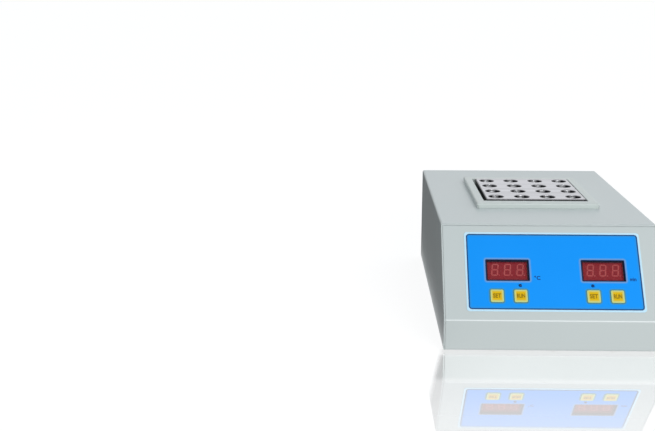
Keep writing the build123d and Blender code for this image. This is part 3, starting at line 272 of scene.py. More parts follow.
def make_machined_group():
    """Fine cutter lines along one direction, uneven in strength, for milled and drawn metal."""
    group, source, sink = new_group(
        "machined_lines",
        [
            ("Vector", "NodeSocketVector", None),
            ("Line Width", "NodeSocketFloat", 0.4 * MM),
            ("Stretch", "NodeSocketFloat", 0.02),
        ],
        [("Height", "NodeSocketFloat"), ("Tone", "NodeSocketFloat")],
    )
    stretch = combine(group, X=source.outputs["Stretch"], Y=1.0, Z=1.0)
    vector = vector_node(group, "MULTIPLY", source.outputs["Vector"], stretch)
    scale = math_node(group, "DIVIDE", 1.0, source.outputs["Line Width"])
    lines = add_node(group, "ShaderNodeTexNoise", {"Vector": vector, "Scale": scale, "Detail": 3.0})
    broad_scale = math_node(group, "MULTIPLY", scale, BROAD_SCALE)
    broad = add_node(group, "ShaderNodeTexNoise", {"Vector": vector, "Scale": broad_scale, "Detail": 2.0})
    centred = math_node(group, "SUBTRACT", broad.outputs["Fac"], 0.5)
    tone = math_node(group, "MULTIPLY_ADD", centred, BROAD_CONTRAST, 1.0)
    group.links.new(lines.outputs["Fac"], sink.inputs["Height"])
    group.links.new(tone, sink.inputs["Tone"])
    return group


GRAIN = make_grain_group()
EDGE = make_edge_group()
OUTLINE = make_outline_group()
MACHINED = make_machined_group()


# ---------------------------------------- materials
def new_material(name, **constants):
    """A material with one Principled shader that has these constants, with its tree and that shader."""
    material = bpy.data.materials.new(name)
    material.use_nodes = True
    tree = material.node_tree
    tree.nodes.clear()
    shader = tree.nodes.new("ShaderNodeBsdfPrincipled")
    output = tree.nodes.new("ShaderNodeOutputMaterial")
    tree.links.new(shader.outputs[0], output.inputs["Surface"])
    for label, value in constants.items():
        shader.inputs[label.replace("_", " ")].default_value = value
    return material, tree, shader


def object_vector(tree):
    """Object coordinates."""
    return add_node(tree, "ShaderNodeTexCoord").outputs["Object"]


def local_vector(tree, place):
    """Object coordinates in the axes of a placement matrix."""
    inputs = {
        "Vector": object_vector(tree),
        "Location": place.to_translation(),
        "Rotation": place.to_euler(),
    }
    return add_node(tree, "ShaderNodeMapping", inputs, vector_type="TEXTURE").outputs[0]


def toned(tree, colour, tone):
    """A colour multiplied by a tone value."""
    return vector_node(tree, "MULTIPLY", colour[:3], tone)


def add_grain(tree, vector, size, drift_size, drift):
    """A surface's grain, by the size of its grains and the size and strength of its drift of tone."""
    inputs = {"Vector": vector, "Grain Size": size, "Drift Size": drift_size, "Drift": drift}
    return use_group(tree, GRAIN, inputs)


def add_edge(tree, vector, width, breakup_size):
    """A surface's edge mask, by the width of its edges and the size of what breaks them up."""
    return use_group(tree, EDGE, {"Width": width, "Vector": vector, "Breakup Size": breakup_size})


def lighter(colour, gain, lift=0.0):
    """A paler colour: each channel times a gain, plus a lift."""
    return tuple(min(1.0, c * gain + lift) for c in colour[:3]) + (1.0,)


def add_relief(tree, shader, height, strength, depth, normal=None):
    """Bump a shader's surface by a height, on top of a softened normal if one is given."""
    inputs = {"Strength": strength, "Distance": depth, "Height": height}
    if normal is not None:
        inputs["Normal"] = normal
    tree.links.new(add_node(tree, "ShaderNodeBump", inputs).outputs[0], shader.inputs["Normal"])


def grained_roughness(tree, shader, grain, roughness):
    """Give a shader a roughness that drifts with its grain."""
    rough = math_node(tree, "ADD", grain["Roughness Shift"], roughness, clamp=True)
    tree.links.new(rough, shader.inputs["Roughness"])


GRAIN_DEPTH = 0.1 * MM
LINE_DEPTH = 0.05 * MM
INK_DEPTH = 0.02 * MM
PAINT_SWING = 0.4  # of the grain's change of roughness that enamel keeps
LINE_SWING = 0.3  # change of roughness over metal's lines
PLASTIC_WEAR = 0.12


def painted_sheet(name, colour, roughness=0.33, pale_edges=0.06, add_marks=None):
    """Baked enamel on steel: faint orange peel, slow drift of tone, and a painted highlight that makes it slightly
    paler along the folds.

    add_marks, if given, is a function of the tree and the paint that returns the paint with marks on it.
    """
    material, tree, shader = new_material(name, Specular_IOR_Level=0.5)
    vector = object_vector(tree)
    grain = add_grain(tree, vector, 1.1 * MM, 120 * MM, 0.05)
    edge = add_edge(tree, vector, 0.9 * MM, 6 * MM)
    body = toned(tree, colour, grain["Tone"])
    # Painted highlight: the enamel turns paler along folds and edges.
    factor = math_node(tree, "MULTIPLY", edge["Edge"], pale_edges)
    paint = mix_colours(tree, factor, body, lighter(colour, 1.25))
    if add_marks:
        paint = add_marks(tree, paint)
    tree.links.new(paint, shader.inputs["Base Color"])
    rough = math_node(tree, "MULTIPLY_ADD", grain["Roughness Shift"], PAINT_SWING, roughness)
    tree.links.new(rough, shader.inputs["Roughness"])
    add_relief(tree, shader, grain["Height"], 0.12, GRAIN_DEPTH, edge["Soft Normal"])
    return material


def moulded(name, colour, roughness=0.4, grain_size=0.5 * MM, bump=0.15, drift=0.06, **constants):
    """Moulded plastic or rubber: fine grain and uneven gloss."""
    material, tree, shader = new_material(name, **constants)
    vector = object_vector(tree)
    grain = add_grain(tree, vector, grain_size, 20 * MM, drift)
    edge = add_edge(tree, vector, 0.4 * MM, 3 * MM)
    body = toned(tree, colour, grain["Tone"])
    factor = math_node(tree, "MULTIPLY", edge["Edge"], PLASTIC_WEAR)
    pale_edges = mix_colours(tree, factor, body, lighter(colour, 0.7, 0.3))
    tree.links.new(pale_edges, shader.inputs["Base Color"])
    grained_roughness(tree, shader, grain, roughness)
    add_relief(tree, shader, grain["Height"], bump, GRAIN_DEPTH, edge["Soft Normal"])
    return material


def metal(name, colour, roughness=0.3, line_width=0.4 * MM, stretch=0.03):
    """Milled, drawn or plated metal with fine lines along X."""
    material, tree, shader = new_material(name, Metallic=1.0)
    vector = object_vector(tree)
    lines = use_group(tree, MACHINED, {"Vector": vector, "Line Width": line_width, "Stretch": stretch})
    edge = add_edge(tree, vector, 0.5 * MM, 3 * MM)
    body = toned(tree, colour, lines["Tone"])
    polished = mix_colours(tree, edge["Edge"], body, lighter(colour, 1.2))
    tree.links.new(polished, shader.inputs["Base Color"])
    centred = math_node(tree, "SUBTRACT", lines["Height"], 0.5)
    uneven = math_node(tree, "MULTIPLY_ADD", centred, LINE_SWING, roughness)
    tree.links.new(uneven, shader.inputs["Roughness"])
    add_relief(tree, shader, lines["Height"], 0.1, LINE_DEPTH, edge["Soft Normal"])
    return material


CASE_COLOUR = srgb(198, 207, 207)
COLLAR_COLOUR = srgb(202, 211, 208)
FIELD_BLUE = srgb(0, 152, 255)
LINE_NAVY = srgb(10, 58, 120)
BORDER_BLUE = srgb(10, 72, 128)
FIELD_SHADE = srgb(50, 144, 214)
MARGIN_PALE = srgb(200, 236, 255)
OPENING_GLOW = srgb(118, 160, 206)
CREASE_HIGHLIGHT = srgb(218, 226, 227)
KEY_YELLOW = srgb(226, 184, 0)
KEY_RIM_HIGHLIGHT = srgb(200, 220, 150)
KEY_SHADE = srgb(72, 142, 160)
MARK_NAVY = srgb(0, 56, 130)
LEGEND_BROWN = srgb(136, 108, 0)
FILTER_RED = srgb(164, 46, 56)
FILTER_NAVY = srgb(12, 18, 40)
MILLED_METAL = srgb(203, 204, 209)
# Painted light and shade in the wells: dark at their sides, a highlight at their front and back, and shade down
# the bores and on the outer walls.
WELL_SIDE_SHADE_METAL = srgb(70, 71, 75)
WELL_HIGHLIGHT_METAL = srgb(222, 224, 228)
PAINTED_SHADE_METAL = srgb(32, 33, 36)
WORN_METAL = srgb(236, 237, 241)

OVERLAY_LOW, OVERLAY_HIGH = box_in("panel_overlay", SLOPE)
WINDOWS = {side: box_in(f"window_{side}", SLOPE) for side in ("left", "right")}
FILTER_LAP = 3.4 * MM  # from an opening's edge to its filter's
OPENING_ROUND = 0.6 * MM
KEYS = {number: box_in(f"key_{number}", SLOPE) for number in range(1, 5)}
KEY_LAP = 1.35 * MM  # from the cap's edge to its flange's
KEY_ROUND = 1.8 * MM

# Painted bands: distances outside an edge where the paint starts to change and has changed.
CREASE_BAND = (0.3 * MM, 0.8 * MM)
CUT_EDGE_BAND = (0.2 * MM, 0.6 * MM)
KEY_RIM_BAND = (-2.8 * MM, -0.2 * MM)
KEY_SHADE_BAND = (0.4 * MM, 2.6 * MM)
FILTER_EDGE_BAND = (-1.6 * MM, -1.3 * MM)

# The overlay's print
MARGIN_WIDTH = 1.9 * MM
BORDER_WIDTH = 1.3 * MM
BORDER_ROUND = 3.4 * MM
SHADE_WIDTH = 3.8 * MM  # from the border's outer edge to where the field is plain
SHADE_SHARE = 0.7
RIM_WIDTH = 0.7 * MM
HALO_WIDTH = 3.2 * MM
PRINT_BLUR = 0.1 * MM

FILTER_CLEAR = 0.38  # opacity of the filter's window
FILTER_PRINTED = 0.97  # opacity of its printed edge


def opening_distance(tree, vector):
    """Distance outside the nearer of the two display openings in the panel, below 0 within one."""
    lap = Vector((FILTER_LAP, FILTER_LAP, 0))
    distances = []
    for low, high in WINDOWS.values():
        inputs = {
            "Vector": vector,
            "Centre": (low + high) / 2,
            "Half Size": (high - low) / 2 - lap,
            "Radius": OPENING_ROUND,
        }
        distances.append(use_group(tree, OUTLINE, inputs)["Distance"])
    return math_node(tree, "MINIMUM", distances[0], distances[1])


def panel_marks(tree, paint):
    """The front panel's paint, with a painted highlight along the crease and painted shade on the cut edges of the
    display openings.
    """
    height = split(tree, object_vector(tree))["Z"]
    off_crease = math_node(tree, "ABSOLUTE", math_node(tree, "SUBTRACT", height, BAND_HEIGHT))
    # Painted highlight along the crease.
    crease = ramp(tree, off_crease, *CREASE_BAND, 1.0, 0.0)
    paint = mix_colours(tree, crease, paint, CREASE_HIGHLIGHT)
    # Painted shade: the cut edges of the display openings are made dark.
    distance = opening_distance(tree, local_vector(tree, SLOPE))
    edge = ramp(tree, distance, *CUT_EDGE_BAND, 1.0, 0.0)
    return mix_colours(tree, edge, paint, FILTER_NAVY)


def key_distance(tree, vector):
    """Distance outside the nearest key's cap. The four keys are folded onto one."""
    parts = split(tree, vector)
    centres = [(KEYS[number][0] + KEYS[number][1]) / 2 for number in range(1, 5)]
    axis = (centres[0].x + centres[3].x) / 2
    pair = (centres[2].x + centres[3].x) / 2 - axis
    step = (centres[3].x - centres[2].x) / 2
    fold = math_node(tree, "ABSOLUTE", math_node(tree, "SUBTRACT", parts["X"], axis))
    fold = math_node(tree, "ABSOLUTE", math_node(tree, "SUBTRACT", fold, pair))
    fold = math_node(tree, "SUBTRACT", fold, step)
    down = math_node(tree, "SUBTRACT", parts["Y"], centres[0].y)
    cap = (KEYS[1][1].x - KEYS[1][0].x) / 2 - KEY_LAP
    inputs = {"Vector": combine(tree, X=fold, Y=down), "Half Size": (cap, cap, 0), "Radius": KEY_ROUND}
    return use_group(tree, OUTLINE, inputs)["Distance"]


def printed_overlay():
    """The panel's printed film: a blue field, shaded towards its border, in a dark border and a pale margin,
    with a dark rim around each display opening; on it, a painted pale glow around each opening and painted
    shade around the keys.
    """
    material, tree, shader = new_material("overlay_film", Specular_IOR_Level=0.2)
    vector = local_vector(tree, SLOPE)
    grain = add_grain(tree, vector, 0.4 * MM, 60 * MM, 0.05)
    border = {
        "Vector": vector,
        "Centre": (OVERLAY_LOW + OVERLAY_HIGH) / 2,
        "Half Size": (OVERLAY_HIGH - OVERLAY_LOW) / 2 - Vector((MARGIN_WIDTH, MARGIN_WIDTH, 0)),
        "Radius": BORDER_ROUND,
    }
    from_border = use_group(tree, OUTLINE, border)["Distance"]
    field = toned(tree, FIELD_BLUE, grain["Tone"])
    near_border = ramp(tree, from_border, -SHADE_WIDTH, -BORDER_WIDTH, 0.0, SHADE_SHARE)
    colour = mix_colours(tree, near_border, field, FIELD_SHADE)
    in_border = ramp(tree, from_border, -BORDER_WIDTH - PRINT_BLUR, -BORDER_WIDTH + PRINT_BLUR)
    colour = mix_colours(tree, in_border, colour, BORDER_BLUE)
    in_margin = ramp(tree, from_border, -PRINT_BLUR, PRINT_BLUR)
    colour = mix_colours(tree, in_margin, colour, MARGIN_PALE)
    from_opening = opening_distance(tree, vector)
    # Painted light: a pale glow around each display opening.
    halo = ramp(tree, from_opening, RIM_WIDTH, HALO_WIDTH, 1.0, 0.0)
    colour = mix_colours(tree, halo, colour, OPENING_GLOW)
    rim = ramp(tree, from_opening, RIM_WIDTH - PRINT_BLUR, RIM_WIDTH + PRINT_BLUR, 1.0, 0.0)
    colour = mix_colours(tree, rim, colour, LINE_NAVY)
    # Painted shade around the keys.
    shade = ramp(tree, key_distance(tree, vector), *KEY_SHADE_BAND, 1.0, 0.0)
    colour = mix_colours(tree, shade, colour, KEY_SHADE)
    tree.links.new(colour, shader.inputs["Base Color"])
    grained_roughness(tree, shader, grain, 0.38)
    add_relief(tree, shader, grain["Height"], 0.1, LINE_DEPTH)
    return material


def key_plastic():
    """Yellow keys, paler towards their rim: a painted highlight."""
    material, tree, shader = new_material("key_plastic", Specular_IOR_Level=0.2)
    vector = local_vector(tree, SLOPE)
    grain = add_grain(tree, vector, 0.4 * MM, 8 * MM, 0.08)
    # Painted highlight along each key's rim.
    rim = ramp(tree, key_distance(tree, vector), *KEY_RIM_BAND)
    body = toned(tree, KEY_YELLOW, grain["Tone"])
    tree.links.new(mix_colours(tree, rim, body, KEY_RIM_HIGHLIGHT), shader.inputs["Base Color"])
    grained_roughness(tree, shader, grain, 0.35)
    add_relief(tree, shader, grain["Height"], 0.12, LINE_DEPTH)
    return material


def red_filter():
    """Clear red acrylic, printed dark around the edge of its window."""
    material, tree, shader = new_material("red_filter", Roughness=0.2, IOR=1.49, Specular_IOR_Level=0.2)
    vector = local_vector(tree, SLOPE)
    grain = add_grain(tree, vector, 1.2 * MM, 20 * MM, 0.2)
    printed = ramp(tree, opening_distance(tree, vector), *FILTER_EDGE_BAND)
    red = toned(tree, FILTER_RED, grain["Tone"])
    tree.links.new(mix_colours(tree, printed, red, FILTER_NAVY), shader.inputs["Base Color"])
    opacity = ramp(tree, printed, 0.0, 1.0, FILTER_CLEAR, FILTER_PRINTED)
    tree.links.new(opacity, shader.inputs["Alpha"])
    return material


FLAT_TURN = (0.6, 0.9)  # Z of a normal, from upright to flat
WELL_HIGHLIGHT_TURN = (0.85, 0.96)  # Y of a normal, either way, where a well's wall turns to its painted highlight
BLOCK_ROUND = 1.0 * MM
OUTER_BAND = (-1.5 * MM, -0.8 * MM)  # outside the block's outline, from the wells to the outer walls
FULL_SHADE_DEPTH = 4.5 * MM  # under the block's top, where the painted shade is full
SHADE_END_DEPTH = 1.5 * MM  # under the block's top, where it ends
WELL_ROUGHNESS = 0.3
TOP_ROUGHNESS = 0.45
RING_SCALE = 700.0
RING_DEPTH = 1.0 * MM
CUTTER_DEPTH = 0.02 * MM


def block_relief(tree, vector, lines, flat):
    """Height of the block's marks: the cutter's lines on flats and turning rings down the wells."""
    upright = combine(tree, Z=split(tree, vector)["Z"])
    rings = add_node(tree, "ShaderNodeTexNoise", {"Vector": upright, "Scale": RING_SCALE, "Detail": 3.0})
    in_wells = math_node(tree, "MULTIPLY", rings.outputs["Fac"], math_node(tree, "SUBTRACT", 1.0, flat))
    return math_node(tree, "ADD", in_wells, math_node(tree, "MULTIPLY", lines["Height"], flat))


def well_metal(tree, vector, facing):
    """Colour of the block's upright walls: drilled metal darkened as painted shade at the sides of each well, a
    painted highlight at the front and the back of each well, and painted shade down the wells and on the outer
    walls.
    """
    low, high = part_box("heating_block")
    footprint = {
        "Vector": vector,
        "Centre": (low + high) / 2,
        "Half Size": (high - low) / 2,
        "Radius": BLOCK_ROUND,
    }
    outer = ramp(tree, use_group(tree, OUTLINE, footprint)["Distance"], *OUTER_BAND)
    mouth = ramp(tree, split(tree, vector)["Z"], high.z - FULL_SHADE_DEPTH, high.z - SHADE_END_DEPTH)
    # Painted highlight at the front and back of each well, painted shade at its sides.
    wall_highlight = ramp(tree, math_node(tree, "ABSOLUTE", facing["Y"]), *WELL_HIGHLIGHT_TURN)
    wall_light_and_shade = mix_colours(tree, wall_highlight, WELL_SIDE_SHADE_METAL, WELL_HIGHLIGHT_METAL)
    # Painted shade: dark down each well below its mouth, and on the block's outer walls.
    bore = mix_colours(tree, mouth, PAINTED_SHADE_METAL, wall_light_and_shade)
    return mix_colours(tree, outer, bore, PAINTED_SHADE_METAL)


def block_metal():
    """Milled aluminium block, with painted shade down its wells and on its outer walls, rubbed bright along the
    edges of its top.
    """
    material, tree, shader = new_material("block_aluminium", Metallic=1.0)
    vector = object_vector(tree)
    lines = use_group(tree, MACHINED, {"Vector": vector, "Line Width": 0.5 * MM, "Stretch": 0.02})
    edge = add_edge(tree, vector, 0.5 * MM, 2 * MM)
    facing = split(tree, tree.nodes.new("ShaderNodeNewGeometry").outputs["Normal"])
    flat = ramp(tree, facing["Z"], *FLAT_TURN)
    milled = toned(tree, MILLED_METAL, lines["Tone"])
    body = mix_colours(tree, flat, well_metal(tree, vector, facing), milled)
    bright = math_node(tree, "MULTIPLY", edge["Edge"], flat)
    tree.links.new(mix_colours(tree, bright, body, WORN_METAL), shader.inputs["Base Color"])
    rough = ramp(tree, flat, 0.0, 1.0, WELL_ROUGHNESS, TOP_ROUGHNESS)
    tree.links.new(rough, shader.inputs["Roughness"])
    depth = ramp(tree, flat, 0.0, 1.0, RING_DEPTH, CUTTER_DEPTH)
    height = block_relief(tree, vector, lines, flat)
    add_relief(tree, shader, height, 0.6, depth, edge["Soft Normal"])
    return material


MATERIALS = {
    "case_paint": painted_sheet("case_paint", CASE_COLOUR),
    "collar_paint": painted_sheet("collar_paint", COLLAR_COLOUR, pale_edges=0.2),
    "zinc_steel": metal("zinc_steel", srgb(190, 192, 190), 0.45, line_width=2 * MM, stretch=0.5),
    "block_aluminium": block_metal(),
    "heater_sheath": metal("heater_sheath", srgb(186, 180, 172), 0.35),
    "black_plastic": moulded("black_plastic", srgb(30, 31, 33), 0.45),
    "insulation_fibre": moulded(
        "insulation_fibre", srgb(228, 222, 205), 0.95, grain_size=1.5 * MM, bump=0.9, drift=0.2
    ),
    "ceramic": moulded("ceramic", srgb(236, 232, 220), 0.25),
    "plated_screws": metal("plated_screws", srgb(200, 200, 196), 0.25),
    "overlay_film": printed_overlay(),
    "red_filter": red_filter(),
    "module_plastic": moulded("module_plastic", srgb(136, 40, 48), 0.5),
    "key_plastic": key_plastic(),
    "lamp_lens": moulded("lamp_lens", srgb(0, 62, 122), 0.5, Specular_IOR_Level=0.2),
    "circuit_board": moulded("circuit_board", srgb(20, 84, 44), 0.4, grain_size=0.8 * MM),
    "relay_plastic": moulded("relay_plastic", srgb(38, 66, 140), 0.4),
    "terminal_plastic": moulded("terminal_plastic", srgb(40, 120, 66), 0.4),
    "capacitor_sleeve": moulded("capacitor_sleeve", srgb(30, 34, 64), 0.3),
    "sink_aluminium": metal("sink_aluminium", srgb(70, 70, 74), 0.45),
    "core_steel": metal("core_steel", srgb(96, 92, 90), 0.5, line_width=0.5 * MM, stretch=1.0),
    "coil_tape": moulded("coil_tape", srgb(222, 184, 62), 0.4),
    "fuse_glass": moulded("fuse_glass", srgb(210, 216, 216), 0.1),
    "rocker_plastic": moulded("rocker_plastic", srgb(26, 26, 28), 0.25),
    "foot_rubber": moulded("foot_rubber", srgb(34, 34, 35), 0.8, grain_size=0.7 * MM, bump=0.4),
    "ribbon_sleeve": moulded("ribbon_sleeve", srgb(150, 152, 158), 0.5),
}
OWN_FINISHES = {"front_panel": painted_sheet("panel_paint", CASE_COLOUR, add_marks=panel_marks)}


def dress_nodes():
    """Give every CAD node its own finish, or the finish of its slot in the record."""
    for subpart in frame["record"]["subparts"]:
        piece = NODES[subpart["node"]]
        finish = OWN_FINISHES.get(subpart["node"], MATERIALS[subpart["material_slot"]])
        piece.data.materials.clear()
        piece.data.materials.append(finish)


dress_nodes()


# ---------------------------------------- modelling helpers
def take(*pieces):
    """Select these pieces only; the first one is active."""
    bpy.ops.object.select_all(action="DESELECT")
    for piece in pieces:
        piece.select_set(True)
    bpy.context.view_layer.objects.active = pieces[0]


def choose(piece, kind, chosen):
    """In edit mode, select just the vertices or faces that a test of place and normal chooses."""
    bpy.ops.mesh.select_mode(type=kind)
    bpy.ops.mesh.select_all(action="DESELECT")
    bpy.ops.object.mode_set(mode="OBJECT")
    if kind == "VERT":
        for vertex in piece.data.vertices:
            vertex.select = chosen(vertex.co, vertex.normal)
    else:
        for polygon in piece.data.polygons:
            polygon.select = chosen(polygon.center, polygon.normal)
    bpy.ops.object.mode_set(mode="EDIT")


def faces_up(place, normal):
    """Whether a vertex or face looks up along Z."""
    return normal.z > 0.9


def place_mesh(piece, place):
    """Put a piece at a placement matrix, with its place in its mesh."""
    piece.matrix_world = place
    take(piece)
    bpy.ops.object.transform_apply(location=True, rotation=True, scale=True)


def add_cylinder(name, radius, low, high, sides):
    """A closed cylinder along Z."""
    bpy.ops.object.select_all(action="DESELECT")
    bpy.ops.mesh.primitive_cylinder_add(
        vertices=sides, radius=radius, depth=high - low, location=(0, 0, (low + high) / 2)
    )
    made = bpy.context.object
    made.name = name
    bpy.ops.object.transform_apply(location=True)
    return made


def copy_to(piece, name, place):
    """A copy of a piece with its own mesh, put at a placement matrix."""
    made = piece.copy()
    made.data = piece.data.copy()
    made.name = name
    bpy.context.collection.objects.link(made)
    place_mesh(made, place)
    return made


def join(pieces, name):
    """Join pieces into one."""
    take(*pieces)
    if len(pieces) > 1:
        bpy.ops.object.join()
    made = bpy.context.view_layer.objects.active
    made.name = name
    made.data.name = name
    return made


def dress(piece, body, material):
    """Finish a new piece: its material, and the body that carries it."""
    piece.data.materials.clear()
    piece.data.materials.append(material)
    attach(piece, body)


PRINT_THICK = 0.03 * MM
FONT_BOLD = 0.03
FONT_EXTRUDE = 0.5  # either way from the font's plane
FONT_STEPS = 3


def letters(text, height, name, width=None):
    """Printed letters: a thin mesh of this height on the XY plane, drawn to a width if one is given."""
    bpy.ops.object.select_all(action="DESELECT")
    bpy.ops.object.text_add(location=(0, 0, 0))
    made = bpy.context.object
    made.name = name
    made.data.body = text
    made.data.extrude = FONT_EXTRUDE
    made.data.offset = FONT_BOLD
    made.data.resolution_u = FONT_STEPS
    bpy.ops.object.convert(target="MESH")
    made = bpy.context.object
    across = [vertex.co.x for vertex in made.data.vertices]
    up = [vertex.co.y for vertex in made.data.vertices]
    middle = Vector(((min(across) + max(across)) / 2, (min(up) + max(up)) / 2, -FONT_EXTRUDE))
    tall = height / (max(up) - min(up))
    wide = width / (max(across) - min(across)) if width else tall
    place_mesh(made, Matrix.Diagonal((wide, tall, PRINT_THICK, 1.0)) @ Matrix.Translation(-middle))
    return made


# ---------------------------------------- display digits
DIGIT_COUNT = 3
DIGIT_HEIGHT = 13.0 * MM
DIGIT_WIDTH = 7.1 * MM
DIGIT_PITCH = 12.6 * MM
DIGIT_LEAN = radians(7)
DIGIT_SHIFT = Vector((0.6, 1.9, 0)) * MM  # from the middle of the module
BAR_WIDTH = 1.35 * MM
BAR_GAP = 0.2 * MM  # between the tips of two bars
BAR_THICK = 0.06 * MM
BAR_RIM = 0.2 * MM
POINT_SIZE = 1.5 * MM
POINT_SIDES = 20
POINT_SHIFT = 1.9 * MM  # from the middle of the right-hand bars
ROOT_THREE = 3**0.5


def raise_face(piece):
    """Give a thin lens its sloping rim: the top face is drawn in and lifted."""
    choose(piece, "FACE", faces_up)
    bpy.ops.mesh.inset(thickness=BAR_RIM, depth=BAR_THICK / 2)
    bpy.ops.object.mode_set(mode="OBJECT")


def make_bar(length, name):
    """One bar of a digit: a hexagon drawn out along Y, pointed at both ends."""
    made = add_cylinder(name, BAR_WIDTH / ROOT_THREE, 0, BAR_THICK, sides=6)
    bpy.ops.object.mode_set(mode="EDIT")
    bpy.ops.transform.resize(value=(1, ROOT_THREE, 1))
    for side in (-1, 1):
        choose(made, "VERT", lambda place, normal, side=side: place.y * side > 0)
        bpy.ops.transform.translate(value=(0, side * (length / 2 - BAR_WIDTH), 0))
    raise_face(made)
    return made


def make_digit():
    """A digit of seven bars with its decimal point, leaning to the right, centred on the origin."""
    reach_x = (DIGIT_WIDTH - BAR_WIDTH) / 2
    reach_y = (DIGIT_HEIGHT - BAR_WIDTH) / 2
    lean = sin(DIGIT_LEAN) / cos(DIGIT_LEAN)
    upright = make_bar(reach_y - BAR_GAP, "bar_upright")
    level = make_bar(2 * reach_x - BAR_GAP, "bar_level")
    parts = []
    for across in (-1, 1):
        for up in (-1, 1):
            y = up * reach_y / 2
            spot = Matrix.Translation((across * reach_x + lean * y, y, 0))
            parts.append(copy_to(upright, "bar", spot @ Matrix.Rotation(-DIGIT_LEAN, 4, "Z")))
    for up in (-1, 0, 1):
        y = up * reach_y
        spot = Matrix.Translation((lean * y, y, 0))
        parts.append(copy_to(level, "bar", spot @ Matrix.Rotation(pi / 2, 4, "Z")))
    point = add_cylinder("point", POINT_SIZE / 2, 0, BAR_THICK, POINT_SIDES)
    bpy.ops.object.mode_set(mode="EDIT")
    raise_face(point)
    place_mesh(point, Matrix.Translation((reach_x + POINT_SHIFT - lean * reach_y, -reach_y, 0)))
    parts.append(point)
    for spare in (upright, level):
        bpy.data.objects.remove(spare)
    return join(parts, "digit")


# The bars glow faintly red: painted light, as the display is not lit.
SEGMENT_GLOW_RED = moulded(
    "segment_red_glow", srgb(255, 186, 178), 0.45, Emission_Color=srgb(255, 40, 40), Emission_Strength=0.1
)


def make_displays():
    """Three digits on the face of each display module."""
    digit = make_digit()
    for side in ("left", "right"):
        low, high = box_in(f"led_module_{side}", SLOPE)
        middle = (low + high) / 2 + DIGIT_SHIFT
        parts = []
        for i in range(DIGIT_COUNT):
            x = middle.x + (i - (DIGIT_COUNT - 1) / 2) * DIGIT_PITCH
            place = SLOPE @ Matrix.Translation((x, middle.y, high.z))
            parts.append(copy_to(digit, "digit", place))
        made = join(parts, f"digits_{side}")
        dress(made, "housing", SEGMENT_GLOW_RED)
    bpy.data.objects.remove(digit)


make_displays()


# ---------------------------------------- printed words and marks
def printed_ink(name, colour):
    """Screen ink: matt, with a fine speckle in its tone."""
    material, tree, shader = new_material(name, Specular_IOR_Level=0.2)
    grain = add_grain(tree, object_vector(tree), 0.3 * MM, 2 * MM, 0.3)
    tree.links.new(toned(tree, colour, grain["Tone"]), shader.inputs["Base Color"])
    grained_roughness(tree, shader, grain, 0.5)
    add_relief(tree, shader, grain["Height"], 0.2, INK_DEPTH)
    return material


MARK_INK = printed_ink("mark_ink", MARK_NAVY)
LEGEND_INK = printed_ink("legend_ink", LEGEND_BROWN)
ROCKER_INK = printed_ink("rocker_ink", srgb(232, 232, 228))
LEGEND_HEIGHT = 4.6 * MM
LEGEND_WIDTH = 8.2 * MM
KEY_WORDS = {1: "SET", 2: "RUN", 3: "SET", 4: "RUN"}
UNIT_MARKS = {  # the word, its height and width, and its place across and up the slope
    "celsius": ("°C", 4.5 * MM, 6.0 * MM, -15.5 * MM, -6.9 * MM),
    "minutes": ("min", 3.8 * MM, 6.4 * MM, 79.6 * MM, -7.8 * MM),
}


def make_words():
    """The word on each key and the unit beside each display."""
    for number, word in KEY_WORDS.items():
        low, high = KEYS[number]
        middle = (low + high) / 2
        made = letters(word, LEGEND_HEIGHT, f"key_{number}_word", LEGEND_WIDTH)
        place_mesh(made, SLOPE @ Matrix.Translation((middle.x, middle.y, high.z)))
        dress(made, f"key_{number}", LEGEND_INK)
    for name, (word, height, width, x, y) in UNIT_MARKS.items():
        made = letters(word, height, f"unit_{name}", width)
        place_mesh(made, SLOPE @ Matrix.Translation((x, y, OVERLAY_HIGH.z)))
        dress(made, "housing", MARK_INK)


make_words()

ROCKER_SWING = radians(9)  # at rest, from level
ROCKER_REACH = 8.6 * MM  # from the pivot to a tip
ROCKER_VALLEY = 2.2 * MM  # from the pivot out to the fold between the two faces
ROCKER_TIP = ROCKER_VALLEY + ROCKER_REACH * sin(ROCKER_SWING)
ROCKER_EDGE = (ROCKER_REACH**2 - ROCKER_TIP**2) ** 0.5
ROCKER_MARK_HEIGHT = 3.2 * MM


def make_rocker_marks():
    """I and O on the two faces of the power rocker."""
    joint = next(joint for joint in frame["joints"] if joint["child"] == "power_rocker")
    pivot = Vector(joint["pos_m"])
    tilt = atan2(ROCKER_TIP - ROCKER_VALLEY, ROCKER_EDGE)
    for side, word in ((1, "I"), (-1, "O")):
        along = side * ROCKER_EDGE / 2
        out = (ROCKER_VALLEY + ROCKER_TIP) / 2
        rocker = Matrix.Translation(pivot) @ REAR_TURN @ Matrix.Rotation(ROCKER_SWING, 4, "X")
        face = rocker @ Matrix.Translation((0, along, out)) @ Matrix.Rotation(side * tilt, 4, "X")
        made = letters(word, ROCKER_MARK_HEIGHT, f"rocker_mark_{word}")
        place_mesh(made, face)
        dress(made, "power_rocker", ROCKER_INK)


make_rocker_marks()


# ---------------------------------------- screws with cross recesses
HEAD_WIDTH = 6.0 * MM
HEAD_HEIGHT = 1.1 * MM
HEAD_SIDES = 40
SHANK_WIDTH = 2.9 * MM
SHANK_SIDES = 24
CROSS_LENGTH = 3.4 * MM
CROSS_WIDTH = 0.75 * MM
CROSS_DEPTH = 0.75 * MM
DOME_WIDTH = 0.45 * MM
DOME_STEPS = 5
OVERLAP = 0.1 * MM  # of two solids where one cuts or joins the other
SCREW_TURN = 37  # degrees from one recess to the next, as hands leave them


def apply_modifier(piece, kind, **settings):
    """Add a modifier with its settings and apply it."""
    modifier = piece.modifiers.new(kind.lower(), kind)
    for name, value in settings.items():
        setattr(modifier, name, value)
    take(piece)
    bpy.ops.object.modifier_apply(modifier=modifier.name)


def cut(piece, cutter):
    """Take a cutter away from a piece."""
    apply_modifier(piece, "BOOLEAN", operation="DIFFERENCE", solver="EXACT", object=cutter)
    bpy.data.objects.remove(cutter)


